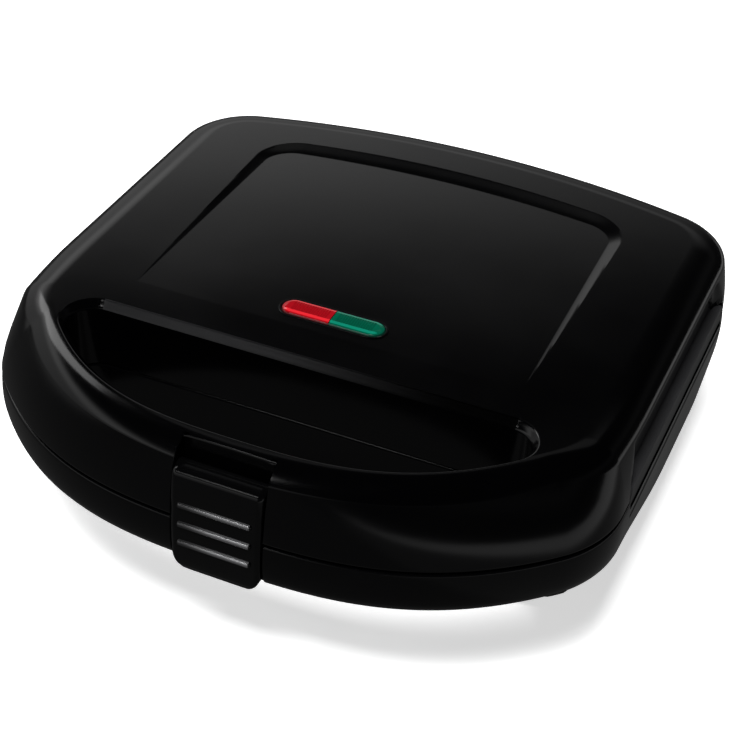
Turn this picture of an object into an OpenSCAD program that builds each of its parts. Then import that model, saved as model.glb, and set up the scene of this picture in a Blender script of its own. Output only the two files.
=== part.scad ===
// Two-slice sandwich toaster: a hinged lid over a base, with a loop handle in front
// and a clip that holds the two halves of the handle together.
// The origin is under the middle of the body, +Z is up and the handle points to -Y.

/* [Body] */
// Widest width, across the base
body_w = 246; // [232:1:262]
// Depth from the clip's front to the back of the hinges
body_d = 256; // [250:1:272]
// Height from the worktop to the lid's top
body_h = 90; // [86:1:100]
// How much narrower each half is at the front than at the back
side_narrowing = 4; // [2:0.5:6]
// How far the front edge bows forward in the middle
front_bow = 37; // [28:0.5:42]
// How broadly the front corners turn
front_corner = 12; // [10:0.5:18]
// How broadly the back corners turn
back_corner = 25; // [18:0.5:34]
// Radius of the bowed back edge
back_r = 350; // [300:2:420]
// Wall of the moulded shells
wall = 2.6; // [2:0.1:3.2]
// Gap all round between lid and base
part_gap = 0.8; // [0.6:0.1:1.2]

/* [Lid] */
// Height of the lid's skirt at the handle
lid_skirt = 27; // [24:0.5:30]
// Height of the sloped crown at the sides and back
crown_h = 7; // [6:0.5:9]
// Height of the sloped crown along the handle
crease_h = 5.6; // [4:0.2:7]
// Width of the crown
crown_w = 14.5; // [10:0.5:16]
// Depth of the long recess in each side
recess_d = 3.8; // [3.4:0.1:4.2]
// Height of the lid's wall below the crown in the recess
recess_h = 13.6; // [12:0.2:15]
// Depth of the shallow top panel at the back
panel_d = 1.3; // [0.6:0.1:1.6]
// Half width of the top panel
panel_half = 81; // [74:1:86]
// Width of the panel's bank at the back
panel_bank = 9.5; // [6:0.5:11]
// Width of the panel's banks at the sides
panel_side = 4.6; // [3:0.2:6]

/* [Handle opening] */
// Distance from the crease to the opening's front edge, in the middle
bar_w = 13.8; // [13:0.2:16]
// Straight back edge of the opening, behind the crease
opening_d = 59; // [56:0.2:62]
// Half width at which the opening's ends begin to turn
opening_half = 84; // [80:1:90]
// How far the opening's front edge bows forward
opening_bow = 29.5; // [28:0.5:34]
// Chamfer round the opening
opening_lip = 2.6; // [1.5:0.1:3]

/* [Base] */
// Height of the base's band below the lid
band_h = 18.8; // [15:0.2:20]
// How far the base's band stands out past the lid
band_out = 0.7; // [0.4:0.1:1.5]
// Height of the groove under the base's side ledge
groove_h = 3; // [2:0.2:4]
// Height of the feet
foot_h = 6; // [5:0.5:8]
// Radius of a foot
foot_r = 8; // [6:0.5:10]

/* [Cooking plates] */
// Width of each cooking plate
plate_w = 204; // [190:1:206]
// Depth of each cooking plate
plate_d = 146; // [130:1:148]
// Depth of a sandwich pocket
pocket_d = 10; // [7:0.5:11]
// Side of the two square moulds, each split corner to corner
mould_d = 118; // [106:1:122]
// Thickness of a plate's flange
flange_t = 3; // [2.5:0.1:3.5]
// Radius of a heating tube
tube_r = 3.2; // [2.8:0.1:3.5]

/* [Hinge and clip] */
// Radius of the hinge knuckles
hinge_r = 6; // [5.5:0.1:6.5]
// Radius of the hinge pins
pin_r = 2; // [1.8:0.1:2.5]
// Distance of each hinge from the middle
hinge_x = 66; // [58:1:72]
// How deep the clip's notch is cut into the handle
notch_d = 10.4; // [9.6:0.2:12]
// Width of the clip
clip_w = 33; // [30:0.2:38]
// Radius of the clip's pivot pin
clip_pin_r = 1.5; // [1.2:0.1:1.6]

/* [Hidden] */
$fn = 48;
run = 0.05;      // radial clearance of a running fit
fit = 0.2;       // clearance between pieces that slip into each other
eps = 0.01;       // overlap of surfaces that are cut or joined
big = 400;       // larger than the whole body

clip_out = 2.5;                              // the clip stands this far out of the band
y_front = -body_d/2 + clip_out;              // front of the parting line
y_hinge = body_d/2 - hinge_r;
y_back = y_hinge - 4;                       // back of the lid in the middle
y_crease = y_front + 3.5;
z_lid = body_h - lid_skirt;                  // lower edge of the lid
z_rim = z_lid - part_gap;                    // upper edge of the base
z_band = z_rim - band_h;                     // lower edge of the base's band
z_side = body_h - crown_h - recess_h;        // lower edge of the lid in the side recess
z_liner = z_side + 1.2;                       // upper side of the lid's liner
z_hinge = z_lid - part_gap/2;
z_cover = foot_h - 1;                        // underside of the bottom cover
z_floor = z_cover + wall;                    // underside of the tub's wall
deck_t = 5;                                  // top deck of the base, which carries the plate
open_front = y_crease + bar_w;
open_back = y_crease + opening_d;
cav_front = open_back + opening_lip + wall;  // front of the inside of the lid and the tub
plate_y = cav_front + plate_d/2 + 9.2;       // middle of the plates
notch_y = y_front + notch_d;
barrel_r = clip_pin_r + 1.9;
clip_y = notch_y - barrel_r - 0.6;           // pivot of the clip
clip_z = body_h - 11;

function smooth(t) = let (u = min(max(t, 0), 1)) u*u*(3 - 2*u);
function mix(a, b, t) = a + (b - a)*t;
function flip(list) = [for (i = [len(list) - 1:-1:0]) list[i]];
function mirrored(half) = concat(half, [for (i = [len(half) - 1:-1:0]) if (half[i][0][0] > eps)
    [[-half[i][0][0], half[i][0][1]], [-half[i][1][0], half[i][1][1]], half[i][2]]]);
function arc(c, r, a0, a1, n) = [for (i = [0:n]) let (a = mix(a0, a1, i/n))
    [c + r*[cos(a), sin(a)], [cos(a), sin(a)]]];

// Plan outline of lid and base. Each point is [place, outward normal, share of the handle's front].
half_w = body_w/2 - band_out;
bow_x = half_w - side_narrowing - front_corner;
bow_p = 2.86;     // how late the front edge turns back
flare = atan(side_narrowing/(body_d*0.6));
function bow_y(x) = front_bow*pow(x/bow_x, bow_p);
function bow_a(x) = atan(bow_p*front_bow/bow_x*pow(x/bow_x, bow_p - 1));
fc_a = bow_a(bow_x);
fc_r = front_corner/(cos(flare) - sin(fc_a));
fc = [bow_x, y_front + front_bow] + fc_r*[-sin(fc_a), cos(fc_a)];
side_0 = fc + fc_r*[cos(flare), -sin(flare)];
rc_x = half_w - back_corner;
rc_a = asin(rc_x/back_r);
rc_k = [rc_x, y_back - back_r + back_r*cos(rc_a)];
rc_r = (side_0[0] - rc_x + (rc_k[1] - side_0[1])*tan(flare))
     /(cos(flare) - sin(rc_a) + (cos(rc_a) + sin(flare))*tan(flare));
rc = rc_k - rc_r*[sin(rc_a), cos(rc_a)];
side_1 = rc + rc_r*[cos(flare), -sin(flare)];
function front_share(t) = 1 - smooth(t);
half_outline = concat(
    [for (i = [0:11]) let (x = bow_x*i/12, a = bow_a(x))
        [[x, y_front + bow_y(x)], [sin(a), -cos(a)], 1]],
    [for (i = [0:7]) let (a = mix(fc_a - 90, -flare, i/7))
        [fc + fc_r*[cos(a), sin(a)], [cos(a), sin(a)], front_share(i/10)]],
    [for (t = [0.07, 0.15, 0.24, 0.5, 0.75])
        [mix(side_0, side_1, t), [cos(flare), -sin(flare)], front_share(0.7 + 1.25*t)]],
    [for (i = [0:7]) let (a = mix(-flare, 90 - rc_a, i/7))
        [rc + rc_r*[cos(a), sin(a)], [cos(a), sin(a)], 0]],
    [for (i = [1:6]) let (a = rc_a*(1 - i/6))
        [[back_r*sin(a), y_back - back_r + back_r*cos(a)], [sin(a), cos(a)], 0]]);
outline = mirrored(half_outline);
function inset_outline(d) = [for (p = outline) p[0] - d*p[1]];

// Crown of the lid: how far in the crease lies, and how high it is.
function crease_in(p) = mix(2.8, 3.5 + 7.8*pow(min(abs(p[0][0])/bow_x, 1), 1.3), p[2]);
function crease_z(p) = body_h - mix(crown_h, crease_h, p[2]);
function crown_pt(p, t) = let (a0 = 4 + 52*p[2], a = mix(a0, 90, t), w = crown_w*(1 - 0.33*p[2]))
    [crease_in(p) + w*(cos(a0) - cos(a))/cos(a0),
     mix(crease_z(p), body_h, (sin(a) - sin(a0))/(1 - sin(a0)))];

// Skin over rings with the same number of points. A flat end is one face, a fan spreads from its middle.
function middle(ring) = [for (k = [0:2]) let (v = [for (p = ring) p[k]]) v*[for (p = ring) 1]/len(ring)];
module skin(rings, fan = false) {
    n = len(rings[0]);
    m = len(rings);
    ends = fan ? [middle(rings[0]), middle(rings[m - 1])] : [];
    polyhedron(points = concat([for (r = rings) each r], ends),
        faces = concat(
            fan ? [for (i = [0:n - 1]) [i, (i + 1)%n, n*m]] : [[for (i = [0:n - 1]) i]],
            fan ? [for (i = [0:n - 1]) [(m - 1)*n + (i + 1)%n, (m - 1)*n + i, n*m + 1]]
                : [flip([for (i = [0:n - 1]) (m - 1)*n + i])],
            [for (j = [0:m - 2], i = [0:n - 1]) [j*n + i, (j + 1)*n + i, (j + 1)*n + (i + 1)%n]],
            [for (j = [0:m - 2], i = [0:n - 1]) [j*n + i, (j + 1)*n + (i + 1)%n, j*n + (i + 1)%n]]));
}
function ring(d, z) = [for (p = outline) let (q = p[0] - d*p[1]) [q[0], q[1], z]];

// D-shaped handle opening, as points with their normals.
d_a = atan(bow_p*opening_bow/opening_half);
d_end = [opening_half, open_front + opening_bow];
d_r = (open_back - d_end[1])/(1 + cos(d_a));
d_c = d_end + d_r*[-sin(d_a), cos(d_a)];
half_d = concat(
    [for (i = [0:9]) let (u = i/10, a = atan(bow_p*opening_bow/opening_half*pow(u, bow_p - 1)))
        [[opening_half*u, open_front + opening_bow*pow(u, bow_p)], [sin(a), -cos(a)], 1]],
    [for (i = [0:7]) let (a = mix(d_a - 90, 90, i/7)) [d_c + d_r*[cos(a), sin(a)], [cos(a), sin(a)], 1]],
    [[[0, open_back], [0, 1], 1]]);
d_outline = mirrored(half_d);
function d_ring(d) = [for (p = d_outline) p[0] + d*p[1]];

module d_cut() {
    translate([0, 0, -eps]) linear_extrude(body_h + 1) polygon(d_ring(0));
}

// Half space in front of a line, and rectangles with round corners.
module behind(y) {
    translate([-big/2, y]) square([big, big]);
}
module round_rect(w, d, r) {
    square([w - 2*r, d], center = true);
    square([w, d - 2*r], center = true);
    for (x = [-1, 1], y = [-1, 1])
        translate([x*(w/2 - r), y*(d/2 - r)]) circle(r);
}

// Inside of the shells behind the opening, d inside their outer faces.
module cavity_2d(d) {
    intersection() {
        polygon(inset_outline(recess_d + d));
        behind(cav_front + d - wall);
    }
}
// Hollow of the handle, between the opening's wall and the skirt.
module handle_hollow_2d() {
    difference() {
        polygon(inset_outline(recess_d + wall + 1));
        polygon(d_ring(wall + opening_lip));
        behind(cav_front - 2*wall);
        translate([-clip_w/2 - 4, -big/2]) square([clip_w + 8, big]);
    }
}
// Long recess in each side of the lid. Its ends sweep in towards the crown, and the
// base's ledge fills its foot.
recess_y = 6;
recess_len = side_1[1] - side_0[1] - 4;
recess_sweep = 7;
function sweep(z) = recess_sweep*smooth((z - z_lid)/(body_h - crown_h - z_lid));
module side_frame(s) {
    mirror([s < 0 ? 1 : 0, 0, 0]) translate([side_0[0], side_0[1], 0]) rotate(-flare) children();
}
module recess_2d(z0, z1, gap) {
    zs = [for (i = [0:5]) mix(z0, z1, i/5)];
    polygon(concat([for (z = zs) [recess_y + gap + sweep(z), z]],
        [for (z = flip(zs)) [recess_y + recess_len - gap - sweep(z), z]]));
}
module recess_cut(depth, z1) {
    for (s = [-1, 1])
        side_frame(s) translate([-depth, 0, 0]) rotate([90, 0, 90]) linear_extrude(30)
            recess_2d(z_lid - 1, z1, 0);
}
module hinge_cyl(x0, x1, r) {
    translate([x0, y_hinge, z_hinge]) rotate([0, 90, 0]) cylinder(r = r, h = x1 - x0);
}
knuckle = 9;     // half length of a lid knuckle
ear = 9;         // length of each base ear
ear_gap = 0.6;

/* ---- lid ---- */
light_y = open_back + 28;
light_len = 42.4;
light_w = 11.6;
module pill(len, w, h) {
    linear_extrude(h) {
        square([len - w, w], center = true);
        for (x = [-1, 1])
            translate([x*(len - w)/2, 0]) circle(w/2);
    }
}
// Shallow top panel: its floor slopes down to the back, where its bank is widest.
panel_y0 = light_y - 12;
panel_y1 = y_back - 31;
panel_r = 17;
function bow_back(x) = back_r - sqrt(back_r*back_r - x*x);
function panel_pt(x, y) = [x, y - bow_back(x)*max(y - light_y, 0)/(panel_y1 - light_y)];
function panel_half_ring(d) = let (w = panel_half - panel_side*d, r = panel_r - panel_side*d,
                                   y1 = panel_y1 - panel_bank*d)
    concat([for (x = [0, 0.35, 0.7]) panel_pt(x*w, panel_y0 + 2*d)],
        [for (t = [0, 0.3, 0.6]) panel_pt(w, mix(panel_y0 + 2*d, y1, t))],
        [for (a = arc([w - r, y1 - r], r, 0, 90, 8)) panel_pt(a[0][0], a[0][1])],
        [for (x = [0.75, 0.5, 0.25, 0]) panel_pt(x*(w - r), y1)]);
function panel_ring(d, z) = let (h = panel_half_ring(d), n = len(h), k = panel_d/(panel_y1 - panel_y0))
    [for (p = concat(h, [for (i = [n - 2:-1:1]) [-h[i][0], h[i][1]]]))
        [p[0], p[1], body_h + z - k*(p[1] - panel_y0)]];
module top_panel() {
    skin([panel_ring(1, 0), panel_ring(-0.3, 1.3*panel_d)], fan = true);
}
module clip_notch(extra) {
    translate([-clip_w/2 - fit, y_front - 20, -1])
        cube([clip_w + 2*fit, notch_y - y_front + 20 + extra, body_h + 5]);
}
module lid_cover() color([0.06, 0.06, 0.065]) {
    difference() {
        union() {
            difference() {
                skin(concat(
                    [ring(0.5, z_lid), ring(0, z_lid + 0.7)],
                    [for (t = [0.5, 1]) [for (p = outline)
                        let (q = p[0] - crease_in(p)*pow(t, 1.6)*p[1])
                        [q[0], q[1], mix(z_lid, crease_z(p), t)]]],
                    [for (t = [0.25, 0.5, 0.75, 1]) [for (p = outline)
                        let (c = crown_pt(p, t), q = p[0] - c[0]*p[1]) [q[0], q[1], c[1]]]]));
                translate([0, 0, z_lid - 1]) linear_extrude(z_under - z_lid + 1) cavity_2d(wall);
                translate([0, 0, z_lid - 1]) linear_extrude(body_h - crown_h - 5 - z_lid)
                    handle_hollow_2d();
                recess_cut(recess_d, body_h - crown_h + 0.4);
                recess_cut(recess_d + wall + fit, z_side);
            }
            // lid knuckles
            for (s = [-1, 1])
                difference() {
                    union() {
                        hinge_cyl(s*hinge_x - knuckle, s*hinge_x + knuckle, hinge_r);
                        translate([s*hinge_x - knuckle, y_hinge - 14, z_lid + 0.6])
                            cube([2*knuckle, 14, hinge_r - 1]);
                    }
                    translate([0, 0, z_lid - 2]) linear_extrude(12) cavity_2d(wall);
                }
            // screw posts under the top
            for (p = screw_at)
                translate([p[0], p[1], z_liner]) cylinder(r = 4, h = body_h - 2 - z_liner);
        }
        for (p = screw_at)
            translate([p[0], p[1], z_lid]) cylinder(r = screw_r + run, h = screw_len + 2);
        d_cut();
        skin([[for (p = d_ring(0)) [p[0], p[1], body_h - opening_lip]],
              [for (p = d_ring(opening_lip + 0.5)) [p[0], p[1], body_h + 0.5]]]);
        clip_notch(0);
        top_panel();
        translate([0, light_y, body_h - 1.2]) pill(light_len, light_w, 5);
        translate([0, light_y, body_h - 10]) pill(light_len - 4, light_w - 4, 12);
        for (s = [-1, 1])
            hinge_cyl(s*hinge_x - knuckle - 1, s*hinge_x + knuckle + 1, pin_r + run);
        translate([-clip_w/2 - 9, clip_y, clip_z]) rotate([0, 90, 0])
            cylinder(r = clip_pin_r, h = clip_w + 18);
    }
}
plate_corner = 8;
liner_z0 = z_lid + 0.3;
screw_len = 15;
screw_r = 1.6;
head_h = 1.6;
screw_at = [for (s = [-1, 1], p = [[plate_w/2 - 30, -plate_d/2 - 4.6], [plate_w/6, plate_d/2 + 5.4]])
    [s*p[0], plate_y + p[1]]];
module lid_liner() color([0.10, 0.10, 0.105]) {
    difference() {
        translate([0, 0, liner_z0]) linear_extrude(z_liner - liner_z0) cavity_2d(wall + fit);
        translate([0, plate_y, z_lid - 1]) linear_extrude(z_face_up + flange_t - z_lid + 1)
            round_rect(plate_w + 2*fit, plate_d + 2*fit, plate_corner);
        translate([0, plate_y, z_lid]) linear_extrude(20)
            round_rect(plate_w - 8, plate_d - 8, plate_corner - 3);
        for (p = screw_at) {
            translate([p[0], p[1], z_lid]) cylinder(r = screw_r + fit, h = 20);
            translate([p[0], p[1], z_lid]) cylinder(r = 3.3, h = 0.4 + head_h);
        }
    }
}
module screw(len) {
    cylinder(r = screw_r, h = len);
    difference() {
        cylinder(r = 3, h = head_h);
        translate([-0.4, -2, -1]) cube([0.8, 4, 1.8]);
        translate([-2, -0.4, -1]) cube([4, 0.8, 1.8]);
    }
}
module liner_screws() color([0.62, 0.62, 0.64]) {
    for (p = screw_at)
        translate([p[0], p[1], z_lid + 0.4]) screw(screw_len);
}

/* ---- cooking plates ---- */
// One half of a square mould: a rounded right triangle, sloping in towards its floor.
function tri_outline(leg, r) = let (k = r*(1 + sqrt(2)))
    concat([for (a = arc([r, r], r, 180, 270, 4)) a[0]],
           [for (a = arc([leg - k, r], r, 270, 405, 6)) a[0]],
           [for (a = arc([r, leg - k], r, 45, 180, 6)) a[0]]);
mould_gap = 5;
mould_w = (plate_w - 9 - mould_gap)/2;
mould_s = min(mould_w, mould_d) - 3;
ridge = 2.2;
module pocket() {
    leg = mould_s - ridge;
    steps = [[-0.6, 0.6], [0, 0], [1.2, -pocket_d*0.45], [3, -pocket_d*0.85], [5.2, -pocket_d]];
    rings = [for (k = steps) [for (p = tri_outline(leg - k[0]*(2 + sqrt(2)), 7 - k[0]*0.6))
        [p[0] + k[0], p[1] + k[0], k[1]]]];
    skin(flip(rings));
}
// A plate with its face at z = 0, its pockets going down.
module plate() {
    difference() {
        union() {
            translate([0, 0, -flange_t]) linear_extrude(flange_t)
                round_rect(plate_w, plate_d, plate_corner);
            for (s = [-1, 1])
                translate([s*(mould_gap + mould_w)/2, 0, -pocket_d - 3])
                    linear_extrude(pocket_d + 3 - eps) round_rect(mould_w, mould_d + 4, 7);
        }
        for (s = [-1, 1])
            translate([s*(mould_gap + mould_w)/2, 0, 0]) mirror([s < 0 ? 1 : 0, 0, 0])
                for (a = [0, 180])
                    rotate(a) translate([-mould_s/2, -mould_s/2, 0]) pocket();
    }
}
z_face = z_lid - 0.3;           // face of the lower plate
z_face_up = z_face + 0.6;       // face of the upper plate
module lower_plate() color([0.16, 0.16, 0.17]) {
    translate([0, plate_y, z_face]) plate();
}
module upper_plate() color([0.16, 0.16, 0.17]) {
    translate([0, plate_y, z_face_up]) mirror([0, 0, 1]) plate();
}
// Tubular heater, bent to a loop on the backs of the moulds, its two ends turned up at the back.
loop_w = plate_w*0.7;
loop_d = mould_d*0.62;
loop_r = 16;
module bend(x, y, a) {
    translate([x, y]) rotate(a) rotate_extrude(angle = 90) translate([loop_r, 0]) circle(tube_r);
}
module rod(x, y, a, len) {
    translate([x, y, 0]) rotate([0, 90, a]) cylinder(r = tube_r, h = len);
}
module element() {
    x = loop_w/2 - loop_r;
    y = loop_d/2 - loop_r;
    end = 22;
    union() {
        for (s = [-1, 1]) {
            bend(s*x, s*y, s > 0 ? 0 : 180);
            bend(s*x, -s*y, s > 0 ? 270 : 90);
            rod(s*(x + loop_r), -y, 90, 2*y);
            rod(s > 0 ? end : -x, y + loop_r, 0, x - end);
            translate([s*(end - 6), y + loop_r, 0]) rotate([0, 90, 0])
                cylinder(r = tube_r*0.55, h = 12, center = true);
        }
        rod(-x, -y - loop_r, 0, 2*x);
    }
}
back_t = pocket_d + 3;
module lower_element() color([0.45, 0.42, 0.40]) {
    translate([0, plate_y, z_face - back_t - tube_r]) element();
}
module upper_element() color([0.45, 0.42, 0.40]) {
    translate([0, plate_y, z_face_up + back_t + tube_r]) element();
}
// Bright tray that throws the heat back at the plate.
tray_t = 0.6;
module tray(hole) {
    difference() {
        linear_extrude(2*tube_r + 2.4) round_rect(loop_w + 24, loop_d + 30, 12);
        translate([0, 0, -1]) linear_extrude(2*tube_r + 2.4 - tray_t + 1)
            round_rect(loop_w + 24 - 2*tray_t, loop_d + 30 - 2*tray_t, 12 - tray_t);
        if (hole)
            translate([0, 0, -1]) cylinder(r = 11, h = 20);
    }
}
module upper_reflector() color([0.78, 0.78, 0.80]) {
    translate([0, plate_y, z_face_up + back_t]) tray(false);
}
module lower_reflector() color([0.78, 0.78, 0.80]) {
    translate([0, plate_y, z_face - back_t]) mirror([0, 0, 1]) tray(true);
}
module thermostat() color([0.85, 0.83, 0.76]) {
    z = z_face - back_t;
    translate([0, plate_y, z - 5]) cylinder(r = 9, h = 5);
    translate([0, plate_y, z - 12]) cylinder(r = 6, h = 7 + eps);
    for (s = [-1, 1])
        translate([s*3.5 - 0.4, plate_y - 3, z - 19]) cube([0.8, 6, 7 + eps]);
}
module thermal_fuse() color([0.90, 0.88, 0.82]) {
    translate([-12, plate_y + 12, z_face_up + back_t + 2.5]) rotate([0, 90, 0])
        cylinder(r = 2.5, h = 24);
    for (x = [-8, 6])
        translate([x, plate_y + 8, z_face_up + back_t]) cube([2, 8, 1]);
}

/* ---- lights ---- */
lens_len = (light_len - 2)/2 - 0.15;
module light_bezel() color([0.09, 0.09, 0.095]) {
    translate([0, light_y, body_h - 1.2]) difference() {
        pill(light_len - 0.2, light_w - 0.2, 1.5);
        translate([0, 0, -1]) pill(light_len - 2, light_w - 2, 5);
    }
    translate([0, light_y, body_h - 1.2]) difference() {
        pill(light_len - 1, light_w - 1, 0.5);
        translate([0, 0, -1]) pill(light_len - 5, light_w - 5, 5);
    }
}
module lens() {
    intersection() {
        union() {
            translate([0, 0, -0.7]) pill(light_len - 2.3, light_w - 2.3, 1.9);
            translate([0, 0, -6]) pill(light_len - 5.4, light_w - 5.4, 6);
        }
        translate([0.15, -20, -20]) cube([60, 40, 40]);
    }
}
module lens_green() color([0.05, 0.62, 0.50]) {
    translate([0, light_y, body_h]) lens();
}
module lens_red() color([0.85, 0.08, 0.10]) {
    translate([0, light_y, body_h]) mirror([1, 0, 0]) lens();
}
module neon_lamps() color([0.95, 0.72, 0.50]) {
    for (s = [-1, 1])
        translate([s*10 - 5, light_y, z_holder + holder_t + 2.5]) rotate([0, 90, 0])
            cylinder(r = 2.5, h = 10);
}
z_under = body_h - wall - 0.4;  // underside of the lid's top
holder_t = 1.6;
z_holder = z_under - 10.2;
module lamp_holder() color([0.88, 0.88, 0.86]) {
    translate([0, light_y, z_holder]) difference() {
        translate([-light_len/2 - 3, -6.6, 0]) cube([light_len + 6, 13.2, z_under - z_holder]);
        translate([-light_len/2 + 0.5, -5, holder_t]) cube([light_len - 1, 10, 12]);
    }
}

/* ---- base ---- */
// Side ledges of the base, in the foot of the lid's recess.
module base_ledge() {
    for (s = [-1, 1])
        side_frame(s) translate([-recess_d - wall + 0.6, 0, 0]) rotate([90, 0, 90])
            linear_extrude(recess_d + wall - 0.6) recess_2d(z_rim - 1, z_side - part_gap, 1.2);
}
module groove_cut() {
    for (s = [-1, 1])
        side_frame(s) translate([-2.4, recess_y + 2, z_rim - groove_h + 1])
            cube([20, recess_len - 4, groove_h]);
}
module base_rim() color([0.06, 0.06, 0.065]) {
    difference() {
        union() {
            skin([ring(7, z_band), ring(3, z_band + 0.9), ring(0.4, z_band + 3),
                  ring(-band_out + 0.2, z_band + 6), ring(-band_out, z_band + 9),
                  ring(-0.2, z_rim - 0.7), ring(0.4, z_rim)]);
            base_ledge();
            for (s = [-1, 1], e = [-1, 1]) {
                x = s*hinge_x + e*(knuckle + ear_gap + ear/2);
                hinge_cyl(x - ear/2, x + ear/2, hinge_r);
                translate([x - ear/2, y_hinge - 16, z_rim - hinge_r]) cube([ear, 16, hinge_r - 0.4]);
            }
        }
        translate([0, 0, z_band + wall]) linear_extrude(z_rim - deck_t - z_band - wall)
            cavity_2d(wall - band_out);
        translate([0, 0, z_band - 1]) linear_extrude(wall + 2) tub_2d(11 + wall, wall);
        translate([0, 0, z_band - 1]) linear_extrude(band_h - 4 + 1) handle_hollow_2d();
        translate([0, plate_y, z_face - flange_t]) linear_extrude(20)
            round_rect(plate_w + 2*fit, plate_d + 2*fit, plate_corner);
        translate([0, plate_y, z_band]) linear_extrude(40)
            round_rect(plate_w - 8, plate_d - 8, plate_corner - 3);
        d_cut();
        groove_cut();
        clip_notch(3 - notch_d);
        for (s = [-1, 1]) {
            hinge_cyl(s*hinge_x - knuckle - ear - 2, s*hinge_x + knuckle + ear + 2, pin_r);
            hinge_cyl(s*hinge_x - knuckle - ear_gap/2, s*hinge_x + knuckle + ear_gap/2, hinge_r + 0.5);
        }
    }
}
// Plan of the tub's inside, d inside the outline and front_d behind its front wall's face.
tub_front = cav_front + 3;
module tub_2d(d, front_d) {
    intersection() {
        polygon(inset_outline(d));
        translate([0, tub_front + front_d + big/2])
            round_rect(2*(half_w - side_narrowing - d) + 16, big, 24);
    }
}
// Plan of the tub's floor opening and of its cover.
module bottom_2d(d, front_d) {
    y0 = tub_front + front_d;
    y1 = y_back - bow_back(half_w*0.6) - d;
    translate([0, (y0 + y1)/2]) round_rect(2*(half_w - side_narrowing - d), y1 - y0, 20);
}
// Lugs at the tub's floor that take the bottom cover's screws.
cover_screw_at = [for (x = [-1, 1], y = [-1, 1]) [x*(body_w/2 - 44), plate_y + y*48]];
module cover_lugs() {
    for (p = cover_screw_at)
        translate(p) {
            circle(6);
            mirror([p[0] < 0 ? 1 : 0, 0]) translate([0, -6]) square([14, 12]);
        }
}
cord_z = z_floor + 15;
bush_r = 6;
boss_y = y_back - 9.6;
module base_tub() color([0.06, 0.06, 0.065]) {
    difference() {
        union() {
            intersection() {
                skin([ring(min(23, rc_r - 1), z_floor), ring(18, z_floor + 1.8), ring(14, z_floor + 6),
                      ring(11, z_floor + 14), ring(8, z_band)]);
                translate([0, tub_front + big/2, 0]) linear_extrude(body_h)
                    round_rect(2*(half_w - side_narrowing) - 8, big, 30);
            }
            translate([0, boss_y, cord_z]) rotate([90, 0, 0]) cylinder(r = bush_r + 4, h = 6);
        }
        difference() {
            union() {
                translate([0, 0, z_floor + wall]) linear_extrude(10) bottom_2d(19 + wall, wall + 1);
                translate([0, 0, z_floor + 7]) linear_extrude(big) tub_2d(14 + wall, wall);
                translate([0, 0, z_floor + 15]) linear_extrude(big) tub_2d(11 + wall, wall);
                translate([0, 0, z_floor - 1]) linear_extrude(10) bottom_2d(32, 18);
            }
            translate([0, 0, z_floor - 2]) linear_extrude(wall + 2) cover_lugs();
            for (p = cover_screw_at)
                translate([p[0], p[1], z_floor]) cylinder(r = 4, h = 9);
            translate([0, boss_y, cord_z]) rotate([90, 0, 0])
                cylinder(r = bush_r + 4, h = 9.6 + 1 + wall);
        }
        for (p = cover_screw_at)
            translate([p[0], p[1], z_floor - 1]) cylinder(r = screw_r + run, h = 9);
        translate([0, y_back, cord_z]) rotate([90, 0, 0]) cylinder(r = bush_r, h = 40);
    }
}
module cord_bush() color([0.05, 0.05, 0.055]) {
    translate([0, boss_y, cord_z]) rotate([-90, 0, 0]) difference() {
        union() {
            translate([0, 0, -12]) cylinder(r = bush_r - run, h = 15);
            cylinder(r = bush_r + 2, h = 3);
        }
        translate([0, 0, -13]) cylinder(r = cord_r, h = 20);
    }
}
cord_r = 3.4;
module bottom_cover() color([0.09, 0.09, 0.095]) {
    difference() {
        translate([0, 0, z_cover]) linear_extrude(wall) bottom_2d(25, 9);
        for (i = [-5:5])
            translate([i*12, plate_y, z_cover - 1]) rotate([0, 0, 90]) pill(44, 4, wall + 2);
        for (p = cover_screw_at)
            translate([p[0], p[1], z_cover - 1]) cylinder(r = screw_r + fit, h = wall + 2);
    }
}
foot_at = [for (x = [-1, 1], y = [tub_front + 20, y_back - 43]) [x*(body_w/2 - 59), y]];
module feet() color([0.13, 0.13, 0.13]) {
    for (p = foot_at)
        translate([p[0], p[1], 0]) rotate_extrude()
            polygon([[0, 0], [foot_r - 1, 0], [foot_r, 1], [foot_r - 0.6, z_cover], [0, z_cover]]);
}
module cover_screws() color([0.62, 0.62, 0.64]) {
    for (p = cover_screw_at)
        translate([p[0], p[1], z_cover - head_h]) screw(wall + 8);
}
module terminal_block() color([0.92, 0.92, 0.88]) {
    translate([24, plate_y + 30, z_cover + wall]) difference() {
        cube([30, 16, 14]);
        for (i = [0:2]) {
            translate([5 + i*10, 8, 4]) cylinder(r = 2.4, h = 12);
            translate([5 + i*10, -1, 7]) rotate([-90, 0, 0]) cylinder(r = 1.6, h = 20);
        }
    }
}
module hinge_pins() color([0.70, 0.70, 0.72]) {
    for (s = [-1, 1])
        hinge_cyl(s*hinge_x - knuckle - ear - 0.4, s*hinge_x + knuckle + ear + 0.4, pin_r);
}

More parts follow.
